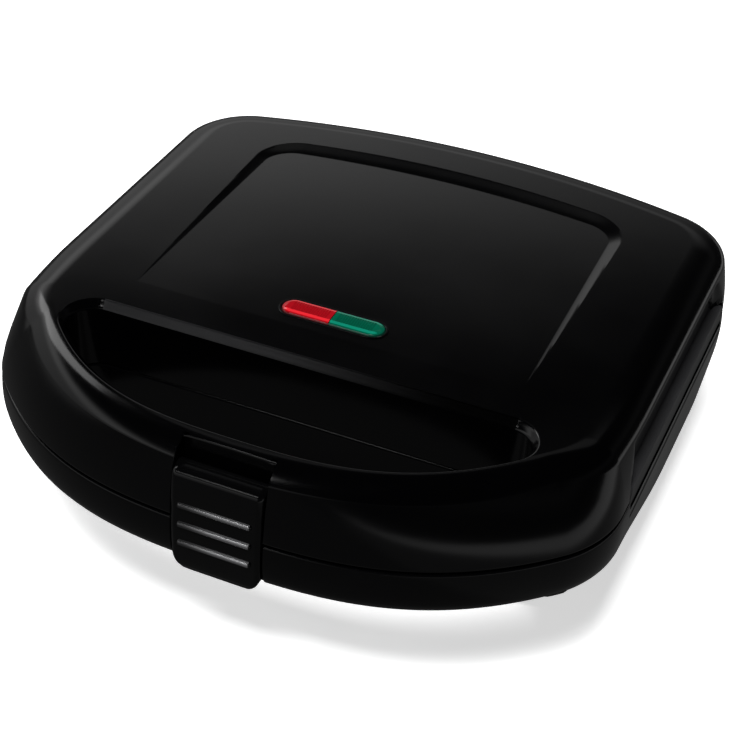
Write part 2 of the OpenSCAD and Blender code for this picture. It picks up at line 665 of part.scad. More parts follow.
/* ---- clip ---- */
clip_bottom = z_band - 3.4;
rib_y = [for (back = [2.1, 0.7, 0.1]) y_front - clip_out + back];
hook_y = y_front + 12;                       // how far back the hook reaches under the base
module clip_profile() {
    f = y_front - clip_out;     // furthest forward
    polygon([[clip_y + 1, body_h - 7.8], [y_front + 2.8, body_h - 7.9], [y_front + 0.8, body_h - 9.8],
             [y_front - 0.6, body_h - 18], [f + 0.5, body_h - 27], [f, body_h - 35],
             [f + 0.2, clip_bottom + 4],
             [f + 1.6, clip_bottom + 1.2], [f + 4, clip_bottom], [hook_y, clip_bottom + 0.4],
             [hook_y, z_band - 0.5], [hook_y - 3.2, z_band - 0.5], [hook_y - 3.6, z_band - 1],
             [f + 5, z_band - 1], [f + 4.2, z_band + 4], [f + 4, body_h - 34], [f + 4.6, body_h - 24],
             [clip_y - 2.6, body_h - 14], [clip_y, body_h - 12.5]]);
}
module clip() color([0.05, 0.05, 0.055]) {
    difference() {
        union() {
            intersection() {
                translate([-clip_w/2, 0, 0]) rotate([90, 0, 90]) linear_extrude(clip_w) clip_profile();
                translate([0, -body_d, clip_bottom + 50]) rotate([-90, 0, 0])
                    linear_extrude(body_d + 50) round_rect(clip_w, 100, 5);
            }
            translate([-clip_w/2, clip_y, clip_z]) rotate([0, 90, 0])
                cylinder(r = barrel_r, h = clip_w);
            for (i = [0:2])
                translate([-clip_w/2 + 3, rib_y[i], body_h - 20.5 - 7.6*i])
                    rotate([0, 90, 0]) cylinder(r = 1.3, h = clip_w - 6);
        }
        translate([-clip_w, clip_y, clip_z]) rotate([0, 90, 0])
            cylinder(r = clip_pin_r + run, h = 2*clip_w);
    }
}
module clip_pin() color([0.70, 0.70, 0.72]) {
    translate([-clip_w/2 - 7, clip_y, clip_z]) rotate([0, 90, 0])
        cylinder(r = clip_pin_r, h = clip_w + 14);
}

base_rim();
base_tub();
bottom_cover();
feet();
cover_screws();
lower_plate();
lower_element();
lower_reflector();
thermostat();
terminal_block();
cord_bush();
hinge_pins();
lid_cover();
lid_liner();
upper_plate();
upper_element();
upper_reflector();
thermal_fuse();
light_bezel();
lens_red();
lens_green();
neon_lamps();
lamp_holder();
liner_screws();
clip_pin();
clip();
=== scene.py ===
"""Looks of a two-slice sandwich toaster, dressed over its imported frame.

The shells are lofted at a finer step than the frame's solids, from the same sizes, and every
other piece gets a moulded, coated or metal finish. Sizes are in millimetres, meshes, lamps and
coordinates of a material are in metres, and angles are in degrees.
"""

import logging
import math
from dataclasses import dataclass, field, replace
from enum import Enum
from typing import Any, Callable, Sequence

import bmesh
import bpy
from mathutils import Matrix, Vector


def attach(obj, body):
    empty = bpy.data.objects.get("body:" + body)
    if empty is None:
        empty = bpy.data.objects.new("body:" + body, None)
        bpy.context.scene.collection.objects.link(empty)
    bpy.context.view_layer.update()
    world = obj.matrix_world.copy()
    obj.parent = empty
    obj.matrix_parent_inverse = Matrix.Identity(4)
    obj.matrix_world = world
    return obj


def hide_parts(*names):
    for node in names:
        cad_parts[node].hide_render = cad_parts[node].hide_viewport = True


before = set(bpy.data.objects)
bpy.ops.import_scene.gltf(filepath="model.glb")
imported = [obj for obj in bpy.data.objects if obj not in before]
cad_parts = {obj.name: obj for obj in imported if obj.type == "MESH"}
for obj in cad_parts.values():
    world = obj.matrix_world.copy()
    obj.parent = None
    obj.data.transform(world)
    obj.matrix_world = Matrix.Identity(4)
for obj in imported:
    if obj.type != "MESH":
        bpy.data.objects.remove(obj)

LOG = logging.getLogger("toaster")
MM = 0.001
FAR = 200.0

Solid = bpy.types.Object
Node = bpy.types.Node
Point = tuple[float, float, float]
Ring = list[Point]
Flat = list[tuple[float, float]]
Outline = list[tuple[Vector, Vector]]
Test = Callable[[Vector, Vector], bool]


def smooth_step(t: float) -> float:
    """Ease from 0 to 1 as t runs from 0 to 1."""
    u = min(max(t, 0.0), 1.0)
    return u * u * (3 - 2 * u)


def mix(a: float, b: float, t: float) -> float:
    """Value a share t of the way from a to b."""
    return a + (b - a) * t


def sin_d(a: float) -> float:
    """Sine of an angle in degrees."""
    return math.sin(math.radians(a))


def cos_d(a: float) -> float:
    """Cosine of an angle in degrees."""
    return math.cos(math.radians(a))


def at(value: float, slack: float, *found: float) -> bool:
    """Whether all that was found lies within the slack of a value."""
    return all(abs(f - value) < slack for f in found)


def inward(p: Vector, n: Vector, inset: float, z: float) -> Point:
    """Point of an outline moved in against its normal, at a height."""
    return (p.x - inset * n.x, p.y - inset * n.y, z)


def arc(centre: Vector, radius: float, start: float, stop: float, steps: int) -> Outline:
    """Arc with its outward normals.

    Args:
        centre: its centre.
        radius: its radius.
        start: angle of its first point.
        stop: angle of its last point.
        steps: number of steps along it.

    Returns:
        Each point with its normal.
    """
    turns = [mix(start, stop, i / steps) for i in range(steps + 1)]
    return [(centre + radius * n, n) for n in (Vector((cos_d(a), sin_d(a))) for a in turns)]


def round_plan(w: float, d: float, r: float, cy: float = 0.0, steps: int = 10) -> Flat:
    """Rectangle with round corners.

    Args:
        w: width.
        d: depth.
        r: corner radius.
        cy: middle of its depth.
        steps: steps in each corner.

    Returns:
        Its points, counter-clockwise.
    """
    points = []
    for k, (sx, sy) in enumerate(((1, -1), (1, 1), (-1, 1), (-1, -1))):
        middle = Vector((sx * (w / 2 - r), cy + sy * (d / 2 - r)))
        points += [(p.x, p.y) for p, _ in arc(middle, r, 90 * (k - 1), 90 * k, steps)]
    return points


def pill_plan(w: float, d: float, cy: float, steps: int = 10) -> Flat:
    """Pill lying along X, its flanks kept a hair apart from its ends."""
    return round_plan(w, d, d / 2 - 0.01, cy, steps)


# ---- tools of the trade


class Way(Enum):
    """How a tool changes a piece."""

    CUT = "DIFFERENCE"
    JOIN = "UNION"
    MEET = "INTERSECT"


class Shop:
    """The few operations with which every piece is modelled."""

    @staticmethod
    def clear_selection() -> None:
        """Leave edit mode and deselect everything."""
        if bpy.context.object and bpy.context.object.mode != "OBJECT":
            bpy.ops.object.mode_set(mode="OBJECT")
        bpy.ops.object.select_all(action="DESELECT")

    @staticmethod
    def pick(obj: Solid) -> None:
        """Make a piece the only selected and the active one.

        Args:
            obj: the piece.
        """
        Shop.clear_selection()
        obj.select_set(True)
        bpy.context.view_layer.objects.active = obj

    @staticmethod
    def edit(obj: Solid, action: str = "SELECT") -> None:
        """Open a piece for editing.

        Args:
            obj: the piece.
            action: SELECT for everything, DESELECT for nothing.
        """
        Shop.pick(obj)
        bpy.ops.object.mode_set(mode="EDIT")
        bpy.ops.mesh.select_all(action=action)

    @staticmethod
    def place(obj: Solid) -> Solid:
        """Put a piece's place into its mesh, so that it sits at the origin.

        Args:
            obj: the piece.

        Returns:
            The same piece.
        """
        Shop.pick(obj)
        bpy.ops.object.transform_apply(location=True, rotation=True, scale=True)
        return obj

    @staticmethod
    def loft(rings: Sequence[Ring], name: str = "tool") -> Solid:
        """Closed skin: a disc is extruded once for each ring and its points are set.

        Args:
            rings: closed loops of the same number of points.
            name: name of the new piece.

        Returns:
            The closed piece, its faces turned outwards.
        """
        Shop.clear_selection()
        bpy.ops.mesh.primitive_circle_add(vertices=len(rings[0]), radius=0.01, fill_type="NGON")
        obj = bpy.context.object
        obj.name = obj.data.name = name
        bpy.ops.object.mode_set(mode="EDIT")
        mesh = bmesh.from_edit_mesh(obj.data)
        order = mesh.verts.layers.int.new("order")
        for vert in mesh.verts:
            vert[order] = vert.index
        for k, ring in enumerate(rings):
            if k:
                bpy.ops.mesh.extrude_region_move()
            mesh = bmesh.from_edit_mesh(obj.data)
            order = mesh.verts.layers.int["order"]
            for vert in mesh.verts:
                if vert.select:
                    vert.co = Vector(ring[vert[order]]) * MM
        mesh.verts.layers.int.remove(order)
        bpy.ops.mesh.select_all(action="SELECT")
        bpy.ops.mesh.normals_make_consistent(inside=False)
        bpy.ops.object.mode_set(mode="OBJECT")
        return obj

    @staticmethod
    def prism(plan: Flat, z0: float, z1: float) -> Solid:
        """Upright block over a plan."""
        return Shop.loft([[(x, y, z) for x, y in plan] for z in (z0, z1)])

    @staticmethod
    def block(low: Point, high: Point) -> Solid:
        """Plain box between two corners."""
        (x0, y0, z0), (x1, y1, z1) = low, high
        return Shop.prism([(x0, y0), (x1, y0), (x1, y1), (x0, y1)], z0, z1)

    @staticmethod
    def slab(y0: float, y1: float, half: float = FAR) -> Solid:
        """Tall box between two depths, twice half wide."""
        return Shop.block((-half, y0, 0), (half, y1, FAR))

    @staticmethod
    def rod(start: Point, length: float, radius: float, sides: int = 48) -> Solid:
        """Round bar along X.

        Args:
            start: middle of its left end.
            length: its length.
            radius: its radius.
            sides: number of its sides.

        Returns:
            The bar.
        """
        x, y, z = start
        Shop.clear_selection()
        bpy.ops.mesh.primitive_cylinder_add(
            vertices=sides, radius=radius * MM, depth=length * MM,
            location=((x + length / 2) * MM, y * MM, z * MM), rotation=(0, math.pi / 2, 0))
        return Shop.place(bpy.context.object)

    @staticmethod
    def apply(obj: Solid, kind: str, **settings: Any) -> None:
        """Put a modifier on a piece and apply it.

        Args:
            obj: the piece.
            kind: type of the modifier.
            settings: its settings.
        """
        Shop.pick(obj)
        mod = obj.modifiers.new("shape", kind)
        for key, value in settings.items():
            setattr(mod, key, value)
        bpy.ops.object.modifier_apply(modifier=mod.name)

    @staticmethod
    def boolean(obj: Solid, tool: Solid, way: Way = Way.CUT) -> None:
        """Change a piece by a tool, which is used up."""
        Shop.apply(obj, "BOOLEAN", operation=way.value, object=tool, solver="MANIFOLD")
        bpy.data.objects.remove(tool)

    @staticmethod
    def tidy(obj: Solid, distance: float = 0.02) -> None:
        """Merge doubled points and turn the faces outwards.

        Args:
            obj: the piece.
            distance: how near to each other doubled points lie.
        """
        Shop.edit(obj)
        bpy.ops.mesh.remove_doubles(threshold=distance * MM)
        bpy.ops.mesh.normals_make_consistent(inside=False)
        bpy.ops.object.mode_set(mode="OBJECT")

    @staticmethod
    def round_edges(obj: Solid, width: float, where: Test, angle: float = 35.0) -> None:
        """Bevel the sharp edges that lie where the test says.

        Args:
            obj: the piece.
            width: width of the rounding.
            where: test of an edge's two ends.
            angle: smallest angle of a sharp edge.
        """
        Shop.edit(obj, "DESELECT")
        bpy.ops.mesh.select_mode(type="EDGE")
        mesh = bmesh.from_edit_mesh(obj.data)
        found = [edge for edge in mesh.edges if len(edge.link_faces) == 2
                 and edge.calc_face_angle() > math.radians(angle)
                 and where(edge.verts[0].co / MM, edge.verts[1].co / MM)]
        for edge in found:
            edge.select = True
        mesh.select_flush_mode()
        bmesh.update_edit_mesh(obj.data)
        if found:
            bpy.ops.mesh.bevel(offset=width * MM, segments=3, profile=0.5, affect="EDGES",
                               clamp_overlap=False)
        bpy.ops.object.mode_set(mode="OBJECT")

    @staticmethod
    def bevel_all(obj: Solid, width: float, segments: int, angle: float) -> None:
        """Round every edge sharper than an angle."""
        Shop.apply(obj, "BEVEL", width=width * MM, segments=segments, limit_method="ANGLE",
                   angle_limit=math.radians(angle))

    @staticmethod
    def smooth(obj: Solid, angle: float) -> None:
        """Shade a piece smoothly, with its flat faces kept flat.

        Args:
            obj: the piece.
            angle: smallest angle of an edge that stays sharp.
        """
        Shop.pick(obj)
        bpy.ops.object.shade_smooth_by_angle(angle=math.radians(angle))
        Shop.apply(obj, "WEIGHTED_NORMAL", keep_sharp=True, weight=80)

    @staticmethod
    def soft_copy(name: str, node: str, width: float, segments: int, angle: float) -> Solid:
        """Merged copy of a frame solid with its edges rounded.

        Args:
            name: name of the copy.
            node: the frame solid.
            width: width of the rounding.
            segments: steps across it.
            angle: smallest angle of an edge that is rounded.

        Returns:
            The copy.
        """
        obj = bpy.data.objects.new(name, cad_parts[node].data.copy())
        bpy.context.scene.collection.objects.link(obj)
        Shop.edit(obj)
        bpy.ops.mesh.remove_doubles(threshold=0.01 * MM)
        bpy.ops.mesh.dissolve_limited(angle_limit=math.radians(1.0))
        bpy.ops.object.mode_set(mode="OBJECT")
        Shop.bevel_all(obj, width, segments, angle)
        Shop.smooth(obj, 40)
        return obj


# ---- finishes


class Grain(Enum):
    """What a finish's fine relief looks like."""

    POLISHED = "polished"
    SATIN = "satin"
    SPECKLED = "speckled"
    BRUSHED = "brushed"


@dataclass(frozen=True)
class Finish:
    """One finish of the toaster.

    Attributes:
        name: name of its material.
        colour: base colour.
        rough: roughness in the middle of its range.
        spread: how far the roughness wanders.
        relief: height of the fine relief.
        grain: what the relief looks like.
        scale: how many grains to the metre.
        metal: share of metal.
        specular: strength of the clear reflection.
        clear: share of light that passes.
        glow: strength of its own light.
        fade: place and strength where painted light, fading from left to right, starts and ends.
    """

    name: str
    colour: tuple[float, float, float]
    rough: float
    spread: float = 0.05
    relief: float = 0.02
    grain: Grain = Grain.SATIN
    scale: float = 900.0
    metal: float = 0.0
    specular: float = 0.5
    clear: float = 0.0
    glow: float = 0.0
    fade: tuple[float, float, float, float] | None = None

    def make(self) -> bpy.types.Material:
        """Find or build the material of this finish."""
        return bpy.data.materials.get(self.name) or Paint(self).build()


class Graph:
    """A node tree in the making."""

    def __init__(self, tree: bpy.types.NodeTree) -> None:
        """Take the tree."""
        self.tree = tree

    def add(self, kind: str, values: dict[str | int, Any] | None = None, **settings: Any) -> Node:
        """Add a shader node.

        Args:
            kind: its type without the common prefix.
            values: values of its sockets.
            settings: its other settings.

        Returns:
            The node.
        """
        node = self.tree.nodes.new("ShaderNode" + kind)
        for key, value in settings.items():
            setattr(node, key, value)
        for socket, value in (values or {}).items():
            node.inputs[socket].default_value = value
        return node

    def span(self, start: float, low: float, end: float, high: float, kind: str = "LINEAR") -> Node:
        """Add a range that runs from low at start to high at end."""
        values = {"From Min": start, "To Min": low, "From Max": end, "To Max": high}
        return self.add("MapRange", values, interpolation_type=kind)

    def ramp(self, stops: Sequence[tuple[float, Sequence[float]]], blend: str = "LINEAR") -> Node:
        """Add a colour ramp.

        Args:
            stops: place and colour of each stop.
            blend: how the colours run into each other.

        Returns:
            The node.
        """
        node = self.add("ValToRGB")
        node.color_ramp.interpolation = blend
        steps = node.color_ramp.elements
        for place, colour in stops[1:-1]:
            steps.new(place).color = (*colour, 1)
        for k in (0, -1):
            steps[k].position, steps[k].color = stops[k][0], (*stops[k][1], 1)
        return node

    def join(self, source: Node, out: str | int, target: Node, into: str | int) -> None:
        """Link one node's output to another's input."""
        self.tree.links.new(source.outputs[out], target.inputs[into])


class Paint(Graph):
    """The node material of one finish."""

    def __init__(self, finish: Finish) -> None:
        """Open a new material.

        Args:
            finish: the finish that it shows.
        """
        self.material = bpy.data.materials.new(finish.name)
        self.material.use_nodes = True
        super().__init__(self.material.node_tree)
        self.finish = finish
        self.shader = self.tree.nodes["Principled BSDF"]
        self.where = self.add("TexCoord")

    def build(self) -> bpy.types.Material:
        """Set the shader and lay roughness, tint, relief and a painted light fade over it.

        Returns:
            The material.
        """
        look = self.finish
        constants = {"Base Color": (*look.colour, 1), "Metallic": look.metal,
                     "Specular IOR Level": look.specular, "Transmission Weight": look.clear}
        if look.clear:
            constants["IOR"] = 1.49
        if look.glow:
            constants |= {"Emission Color": (*look.colour, 1), "Emission Strength": look.glow}
        for socket, value in constants.items():
            self.shader.inputs[socket].default_value = value
        self._roughness()
        self._tint()
        self._bump()
        if look.fade:
            self._fade()
        return self.material

    def _noise(self, scale: float, detail: float, stretch: Point | None = None) -> Node:
        """Noise on object coordinates, stretched where a grain has a direction.

        Args:
            scale: how many lumps to the metre.
            detail: how fine it gets.
            stretch: scale along each axis, where it isn't even.

        Returns:
            The noise.
        """
        noise = self.add("TexNoise", {"Scale": scale, "Detail": detail})
        source, out = self.where, "Object"
        if stretch:
            source, out = self.add("Mapping", {"Scale": stretch}), "Vector"
            self.join(self.where, "Object", source, "Vector")
        self.join(source, out, noise, "Vector")
        return noise

    def _roughness(self) -> None:
        """Let the roughness wander in broad, faint clouds, as handling leaves them."""
        look = self.finish
        span = self.span(0.3, max(look.rough - look.spread, 0.02), 0.7, min(look.rough + look.spread, 1.0))
        self.join(self._noise(14.0, 4.0), "Fac", span, "Value")
        self.join(span, "Result", self.shader, "Roughness")

    def _tint(self) -> None:
        """Vary the colour a little, more so on speckled and brushed surfaces."""
        look = self.finish
        speckled = look.grain is Grain.SPECKLED
        strength = {Grain.SPECKLED: 0.35, Grain.BRUSHED: 0.22}.get(look.grain, 0.10)
        spark = 0.004 if speckled else 0.0
        ramp = self.ramp([(0.35, [c * (1 - strength) for c in look.colour]),
                          (0.68, [min(c * (1 + strength) + spark, 1) for c in look.colour])])
        self.join(self._noise(2600.0 if speckled else 55.0, 3.0), "Fac", ramp, "Fac")
        self.join(ramp, "Color", self.shader, "Base Color")

    def _bump(self) -> None:
        """Fine relief: orange peel, spark grain, speckle or brush lines."""
        look = self.finish
        stretch = (0.06, 1.0, 1.0) if look.grain is Grain.BRUSHED else None
        noise = self._noise(look.scale, 1.0 if look.grain is Grain.POLISHED else 3.0, stretch)
        bump = self.add("Bump", {"Strength": 0.6, "Distance": look.relief * MM})
        self.join(noise, "Fac", bump, "Height")
        self.join(bump, "Normal", self.shader, "Normal")

    def _fade(self) -> None:
        """Paint light that fades from the left to the right: colour and reflection strength are scaled along
        X.
        """
        split = self.add("SeparateXYZ")
        share = self.span(*self.finish.fade, "SMOOTHSTEP")
        level = self.add("Math", {1: self.finish.specular}, operation="MULTIPLY")
        tint = self.add("Mix", {"Factor": 1.0}, data_type="RGBA", blend_type="MULTIPLY")
        colour = self.shader.inputs["Base Color"].links[0].from_node
        self.join(colour, "Color", tint, "A")
        self.join(self.where, "Object", split, 0)
        self.join(split, "X", share, "Value")
        self.join(share, "Result", level, 0)
        self.join(share, "Result", tint, "B")
        self.join(level, 0, self.shader, "Specular IOR Level")
        self.join(tint, "Result", self.shader, "Base Color")


GLOSS_BLACK = Finish("gloss_black_shell", (0.0004, 0.0004, 0.0005), 0.15, 0.03, 0.006, Grain.POLISHED, 420.0,
                     specular=0.32)
GLOSS_BASE = Finish("gloss_black_base", (0.0005, 0.0005, 0.0006), 0.18, 0.04, 0.008, Grain.POLISHED, 420.0,
                    specular=0.30)
GLOSS_CLIP = Finish("gloss_black_clip", (0.0008, 0.0008, 0.0009), 0.17, 0.03, 0.006, Grain.POLISHED, 500.0,
                    specular=0.34)
TUB_BLACK = Finish("moulded_black_tub", (0.0014, 0.0014, 0.0016), 0.34, 0.05, 0.015, Grain.SATIN, 1500.0,
                   specular=0.30)
MATT_BLACK = Finish("matt_black_cover", (0.010, 0.010, 0.0105), 0.55, 0.06, 0.03, Grain.SATIN, 1600.0)
LINER_BLACK = Finish("matt_black_liner", (0.014, 0.014, 0.015), 0.48, 0.06, 0.03, Grain.SATIN, 1300.0)
COATING = Finish("non_stick_coating", (0.022, 0.022, 0.024), 0.33, 0.05, 0.02, Grain.SPECKLED, 1700.0)
SHEATH = Finish("oxidised_tube", (0.30, 0.27, 0.25), 0.42, 0.08, 0.015, Grain.BRUSHED, 900.0, metal=1.0)
BRIGHT_SHEET = Finish("bright_sheet", (0.80, 0.80, 0.82), 0.22, 0.06, 0.01, Grain.BRUSHED, 700.0, metal=1.0)
STEEL = Finish("drawn_steel", (0.62, 0.62, 0.64), 0.26, 0.06, 0.008, Grain.BRUSHED, 1100.0, metal=1.0)
ZINC = Finish("zinc_screws", (0.55, 0.55, 0.58), 0.36, 0.06, 0.008, Grain.BRUSHED, 1300.0, metal=1.0)
CERAMIC = Finish("glazed_ceramic", (0.83, 0.81, 0.74), 0.28, 0.04, 0.01, Grain.SATIN, 500.0)
STEATITE = Finish("white_steatite", (0.86, 0.86, 0.82), 0.45, 0.05, 0.02, Grain.SATIN, 1400.0)
RUBBER = Finish("soft_rubber", (0.022, 0.022, 0.022), 0.72, 0.06, 0.04, Grain.SATIN, 1500.0)
WHITE_MOULDING = Finish("white_moulding", (0.80, 0.80, 0.78), 0.42, 0.05, 0.02, Grain.SATIN, 1200.0)
NEON = Finish("neon_glass", (0.90, 0.62, 0.42), 0.10, 0.03, 0.004, Grain.POLISHED, 600.0, clear=0.7)
# The lenses glow a little though their lamps are off: painted light.
RED_LENS = Finish("red_lens", (0.30, 0.0035, 0.008), 0.10, 0.03, 0.006, Grain.POLISHED, 500.0,
                  specular=0.22, clear=0.2, glow=0.12)
# Painted highlight on the lenses' crown rims and painted shade on their flanks: lighter and darker copies of
# the lens colour.
RED_LENS_HIGHLIGHT = replace(RED_LENS, name="red_lens_painted_highlight", colour=(0.62, 0.018, 0.026), rough=0.12, specular=0.7)
RED_LENS_SHADE = replace(RED_LENS, name="red_lens_painted_shade", colour=(0.075, 0.002, 0.003), specular=0.5, glow=0.10)
GREEN_LENS = replace(RED_LENS, name="green_lens", colour=(0.0008, 0.080, 0.044))
GREEN_LENS_HIGHLIGHT = replace(RED_LENS_HIGHLIGHT, name="green_lens_painted_highlight", colour=(0.004, 0.19, 0.12))
GREEN_LENS_SHADE = replace(RED_LENS_SHADE, name="green_lens_painted_shade", colour=(0.001, 0.030, 0.018))
# Satin trim on the handle opening's rear chamfer with a painted highlight: lighter than the shell, its colour
# and reflection fading from the left to the right.
SATIN_TRIM_HIGHLIGHT = Finish("satin_trim_painted_highlight", (0.004, 0.004, 0.0045), 0.36, 0.05, 0.01, Grain.SATIN, 1300.0,
                    fade=(-0.045, 1.0, 0.060, 0.04))
# Satin ledges of the base's sides, coloured lighter as a painted highlight.
SATIN_LEDGE_HIGHLIGHT = replace(SATIN_TRIM_HIGHLIGHT, name="satin_ledge_painted_highlight", colour=(0.018, 0.018, 0.019), fade=None)
# Painted highlight on the clip's ribs: a light metal in place of the black moulding, dimmer towards their
# left ends.
RIB_HIGHLIGHT = Finish("painted_rib_highlight", (0.42, 0.42, 0.43), 0.26, 0.06, 0.01, Grain.SATIN, 1300.0, metal=0.9,
                   specular=0.8, fade=(-0.012, 0.22, 0.003, 1.0))
# Painted highlight: a lighter colour on thin bands along the side edges of lid and base.
EDGE_HIGHLIGHT = Finish("painted_edge_highlight", (0.07, 0.07, 0.072), 0.30, 0.05, 0.01, Grain.SATIN, 1300.0, specular=0.8)

NODE_FINISH: dict[str, Finish] = {
    "bottom_cover": MATT_BLACK, "feet": RUBBER, "cover_screws": ZINC, "lower_element": SHEATH,
    "lower_reflector": BRIGHT_SHEET, "thermostat": CERAMIC, "terminal_block": STEATITE,
    "cord_bush": RUBBER, "hinge_pins": STEEL, "lid_liner": LINER_BLACK, "upper_element": SHEATH,
    "upper_reflector": BRIGHT_SHEET, "thermal_fuse": CERAMIC, "neon_lamps": NEON,
    "lamp_holder": WHITE_MOULDING, "liner_screws": ZINC, "clip_pin": STEEL,
}


def finish_piece(obj: Solid, finish: Finish, body: str, slot: str, *nodes: str) -> Solid:
    """Dress a new piece and hand it to its body.

    Args:
        obj: the finished piece.
        finish: what it is made of.
        body: the body that it rides on.
        slot: not used.
        nodes: the frame solids that it stands for.

    Returns:
        The same piece.
    """
    obj.data.materials.clear()
    obj.data.materials.append(finish.make())
    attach(obj, body)
    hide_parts(*nodes)
    LOG.info("%s: %d faces on %s", obj.name, len(obj.data.polygons), body)
    return obj


def second_finish(obj: Solid, finish: Finish, where: Test) -> None:
    """Give the faces that pass a test a finish of their own.

    Args:
        obj: the dressed piece.
        finish: the finish of those faces.
        where: test of a face's middle and its normal.
    """
    obj.data.materials.append(finish.make())
    for face in obj.data.polygons:
        if where(face.center / MM, face.normal):
            face.material_index = len(obj.data.materials) - 1


# ---- plan of the body


@dataclass
class Plan:
    """Outline that lid, base, clip and lights share, and the sizes that hang on it."""

    half_w: float = 122.3
    depth: float = 256.0
    height: float = 90.0
    narrowing: float = 4.0
    bow: float = 37.0
    bow_power: float = 2.86
    front_corner: float = 12.0
    back_corner: float = 25.0
    back_radius: float = 350.0
    wall: float = 2.6
    y_front: float = -125.5
    y_back: float = 118.0
    y_hinge: float = 122.0
    z_lid: float = 63.0
    z_rim: float = 62.2
    z_band: float = 43.4
    band_out: float = 0.7
    crown_h: float = 7.0
    crease_h: float = 5.6
    crown_w: float = 14.5
    recess_d: float = 3.8
    recess_h: float = 13.6
    recess_from: float = 6.0
    recess_short: float = 4.0
    recess_lean: float = 7.0
    side_from: float = 100.0
    opening_half: float = 84.0
    opening_bow: float = 29.5
    opening_front: float = -108.2
    opening_back: float = -63.0
    opening_lip: float = 2.6
    clip_w: float = 33.0
    clip_gap: float = 0.2
    clip_y: float = -119.1
    clip_z: float = 79.0
    notch_y: float = -115.1
    light_y: float = -35.0
    light_len: float = 42.4
    light_w: float = 11.6
    hinge_x: float = 66.0
    hinge_r: float = 6.0
    hinge_pin_r: float = 2.0
    knuckle: float = 9.0
    ear: float = 9.0
    outline: list[tuple[Vector, Vector, float]] = field(default_factory=list)

    def __post_init__(self) -> None:
        """Work out what follows from the sizes, and both outlines."""
        self.cav_front = self.opening_back + self.opening_lip + self.wall
        self.z_side = self.height - self.crown_h - self.recess_h
        self.z_hinge = self.z_lid - 0.4
        self.z_under = self.height - self.wall - 0.4
        self.flare = math.degrees(math.atan(self.narrowing / (self.depth * 0.6)))
        half = self._half()
        self.outline = half + [(Vector((-p.x, p.y)), Vector((-n.x, n.y)), s)
                               for p, n, s in reversed(half) if p.x > 0.001]
        half_d = self._half_opening()
        self.opening = half_d + [(Vector((-p.x, p.y)), Vector((-n.x, n.y)))
                                 for p, n in reversed(half_d) if p.x > 0.001]

    def _bow(self, half: float, bow: float, front: float, steps: int) -> Outline:
        """Bowed front from its middle to just before its end.

        Args:
            half: its half width.
            bow: how far its end lies back.
            front: depth of its middle.
            steps: number of steps along it.

        Returns:
            Each point with its outward normal.
        """
        points: Outline = []
        for u in [i / steps for i in range(steps)]:
            a = math.degrees(math.atan(self.bow_power * bow / half * u ** (self.bow_power - 1)))
            place = Vector((half * u, front + bow * u ** self.bow_power))
            points.append((place, Vector((sin_d(a), -cos_d(a)))))
        return points

    def _half(self) -> list[tuple[Vector, Vector, float]]:
        """Right half of the outline, from the middle of the front to the middle of the back.

        Returns:
            Point, outward normal and share of the handle's front, for each place.
        """
        flare, back = self.flare, self.back_radius
        side_n = Vector((cos_d(flare), -sin_d(flare)))
        self.bow_x = self.half_w - self.narrowing - self.front_corner
        end = math.degrees(math.atan(self.bow_power * self.bow / self.bow_x))
        r_f = self.front_corner / (cos_d(flare) - sin_d(end))
        c_f = Vector((self.bow_x, self.y_front + self.bow)) + r_f * Vector((-sin_d(end), cos_d(end)))
        self.side_0 = c_f + r_f * side_n
        rc_x = self.half_w - self.back_corner
        rc_a = math.degrees(math.asin(rc_x / back))
        rc_k = Vector((rc_x, self.y_back - back + back * cos_d(rc_a)))
        tan_f = math.tan(math.radians(flare))
        r_b = (self.side_0.x - rc_x + (rc_k.y - self.side_0.y) * tan_f) / (
            cos_d(flare) - sin_d(rc_a) + (cos_d(rc_a) + sin_d(flare)) * tan_f)
        c_b = rc_k - r_b * Vector((sin_d(rc_a), cos_d(rc_a)))
        side_1 = c_b + r_b * side_n
        self.side_len = side_1.y - self.side_0.y
        half = [(p, n, 1.0) for p, n in self._bow(self.bow_x, self.bow, self.y_front, 56)]
        half += [(p, n, 1 - smooth_step(0.7 * i / 18))
                 for i, (p, n) in enumerate(arc(c_f, r_f, end - 90, -flare, 18))]
        ends = [i / 125 for i in range(1, 21)]
        for t in ends + [mix(0.2, 0.8, i / 12) for i in range(13)] + [1 - t for t in reversed(ends)]:
            half.append((self.side_0.lerp(side_1, t), side_n, 1 - smooth_step(0.7 + 1.25 * t)))
        half += [(p, n, 0.0) for p, n in arc(c_b, r_b, -flare, 90 - rc_a, 18)]
        half += [(p, n, 0.0) for p, n in arc(Vector((0, self.y_back - back)), back, 90 - rc_a, 90, 24)[1:]]
        return half

    def _half_opening(self) -> Outline:
        """Right half of the D-shaped handle opening with its normals.

        Returns:
            Each point with its outward normal.
        """
        w, bow = self.opening_half, self.opening_bow
        end = math.degrees(math.atan(self.bow_power * bow / w))
        tip = Vector((w, self.opening_front + bow))
        r = (self.opening_back - tip.y) / (1 + cos_d(end))
        half = self._bow(w, bow, self.opening_front, 44)
        half += arc(tip + r * Vector((-sin_d(end), cos_d(end))), r, end - 90, 90, 20)
        x_end = half[-1][0].x
        half += [(Vector((x_end * (1 - i / 20), self.opening_back)), Vector((0, 1))) for i in range(1, 21)]
        return half

    def ring(self, inset: float, z: float) -> Ring:
        """Outline moved inwards, at one height."""
        return [inward(p, n, inset, z) for p, n, _ in self.outline]

    def plan_of(self, inset: float) -> Flat:
        """Outline moved inwards, as a plan."""
        return [(x, y) for x, y, _ in self.ring(inset, 0)]

    def opening_ring(self, out: float, z: float) -> Ring:
        """Outline of the handle opening moved outwards, at one height."""
        return [inward(p, n, -out, z) for p, n in self.opening]

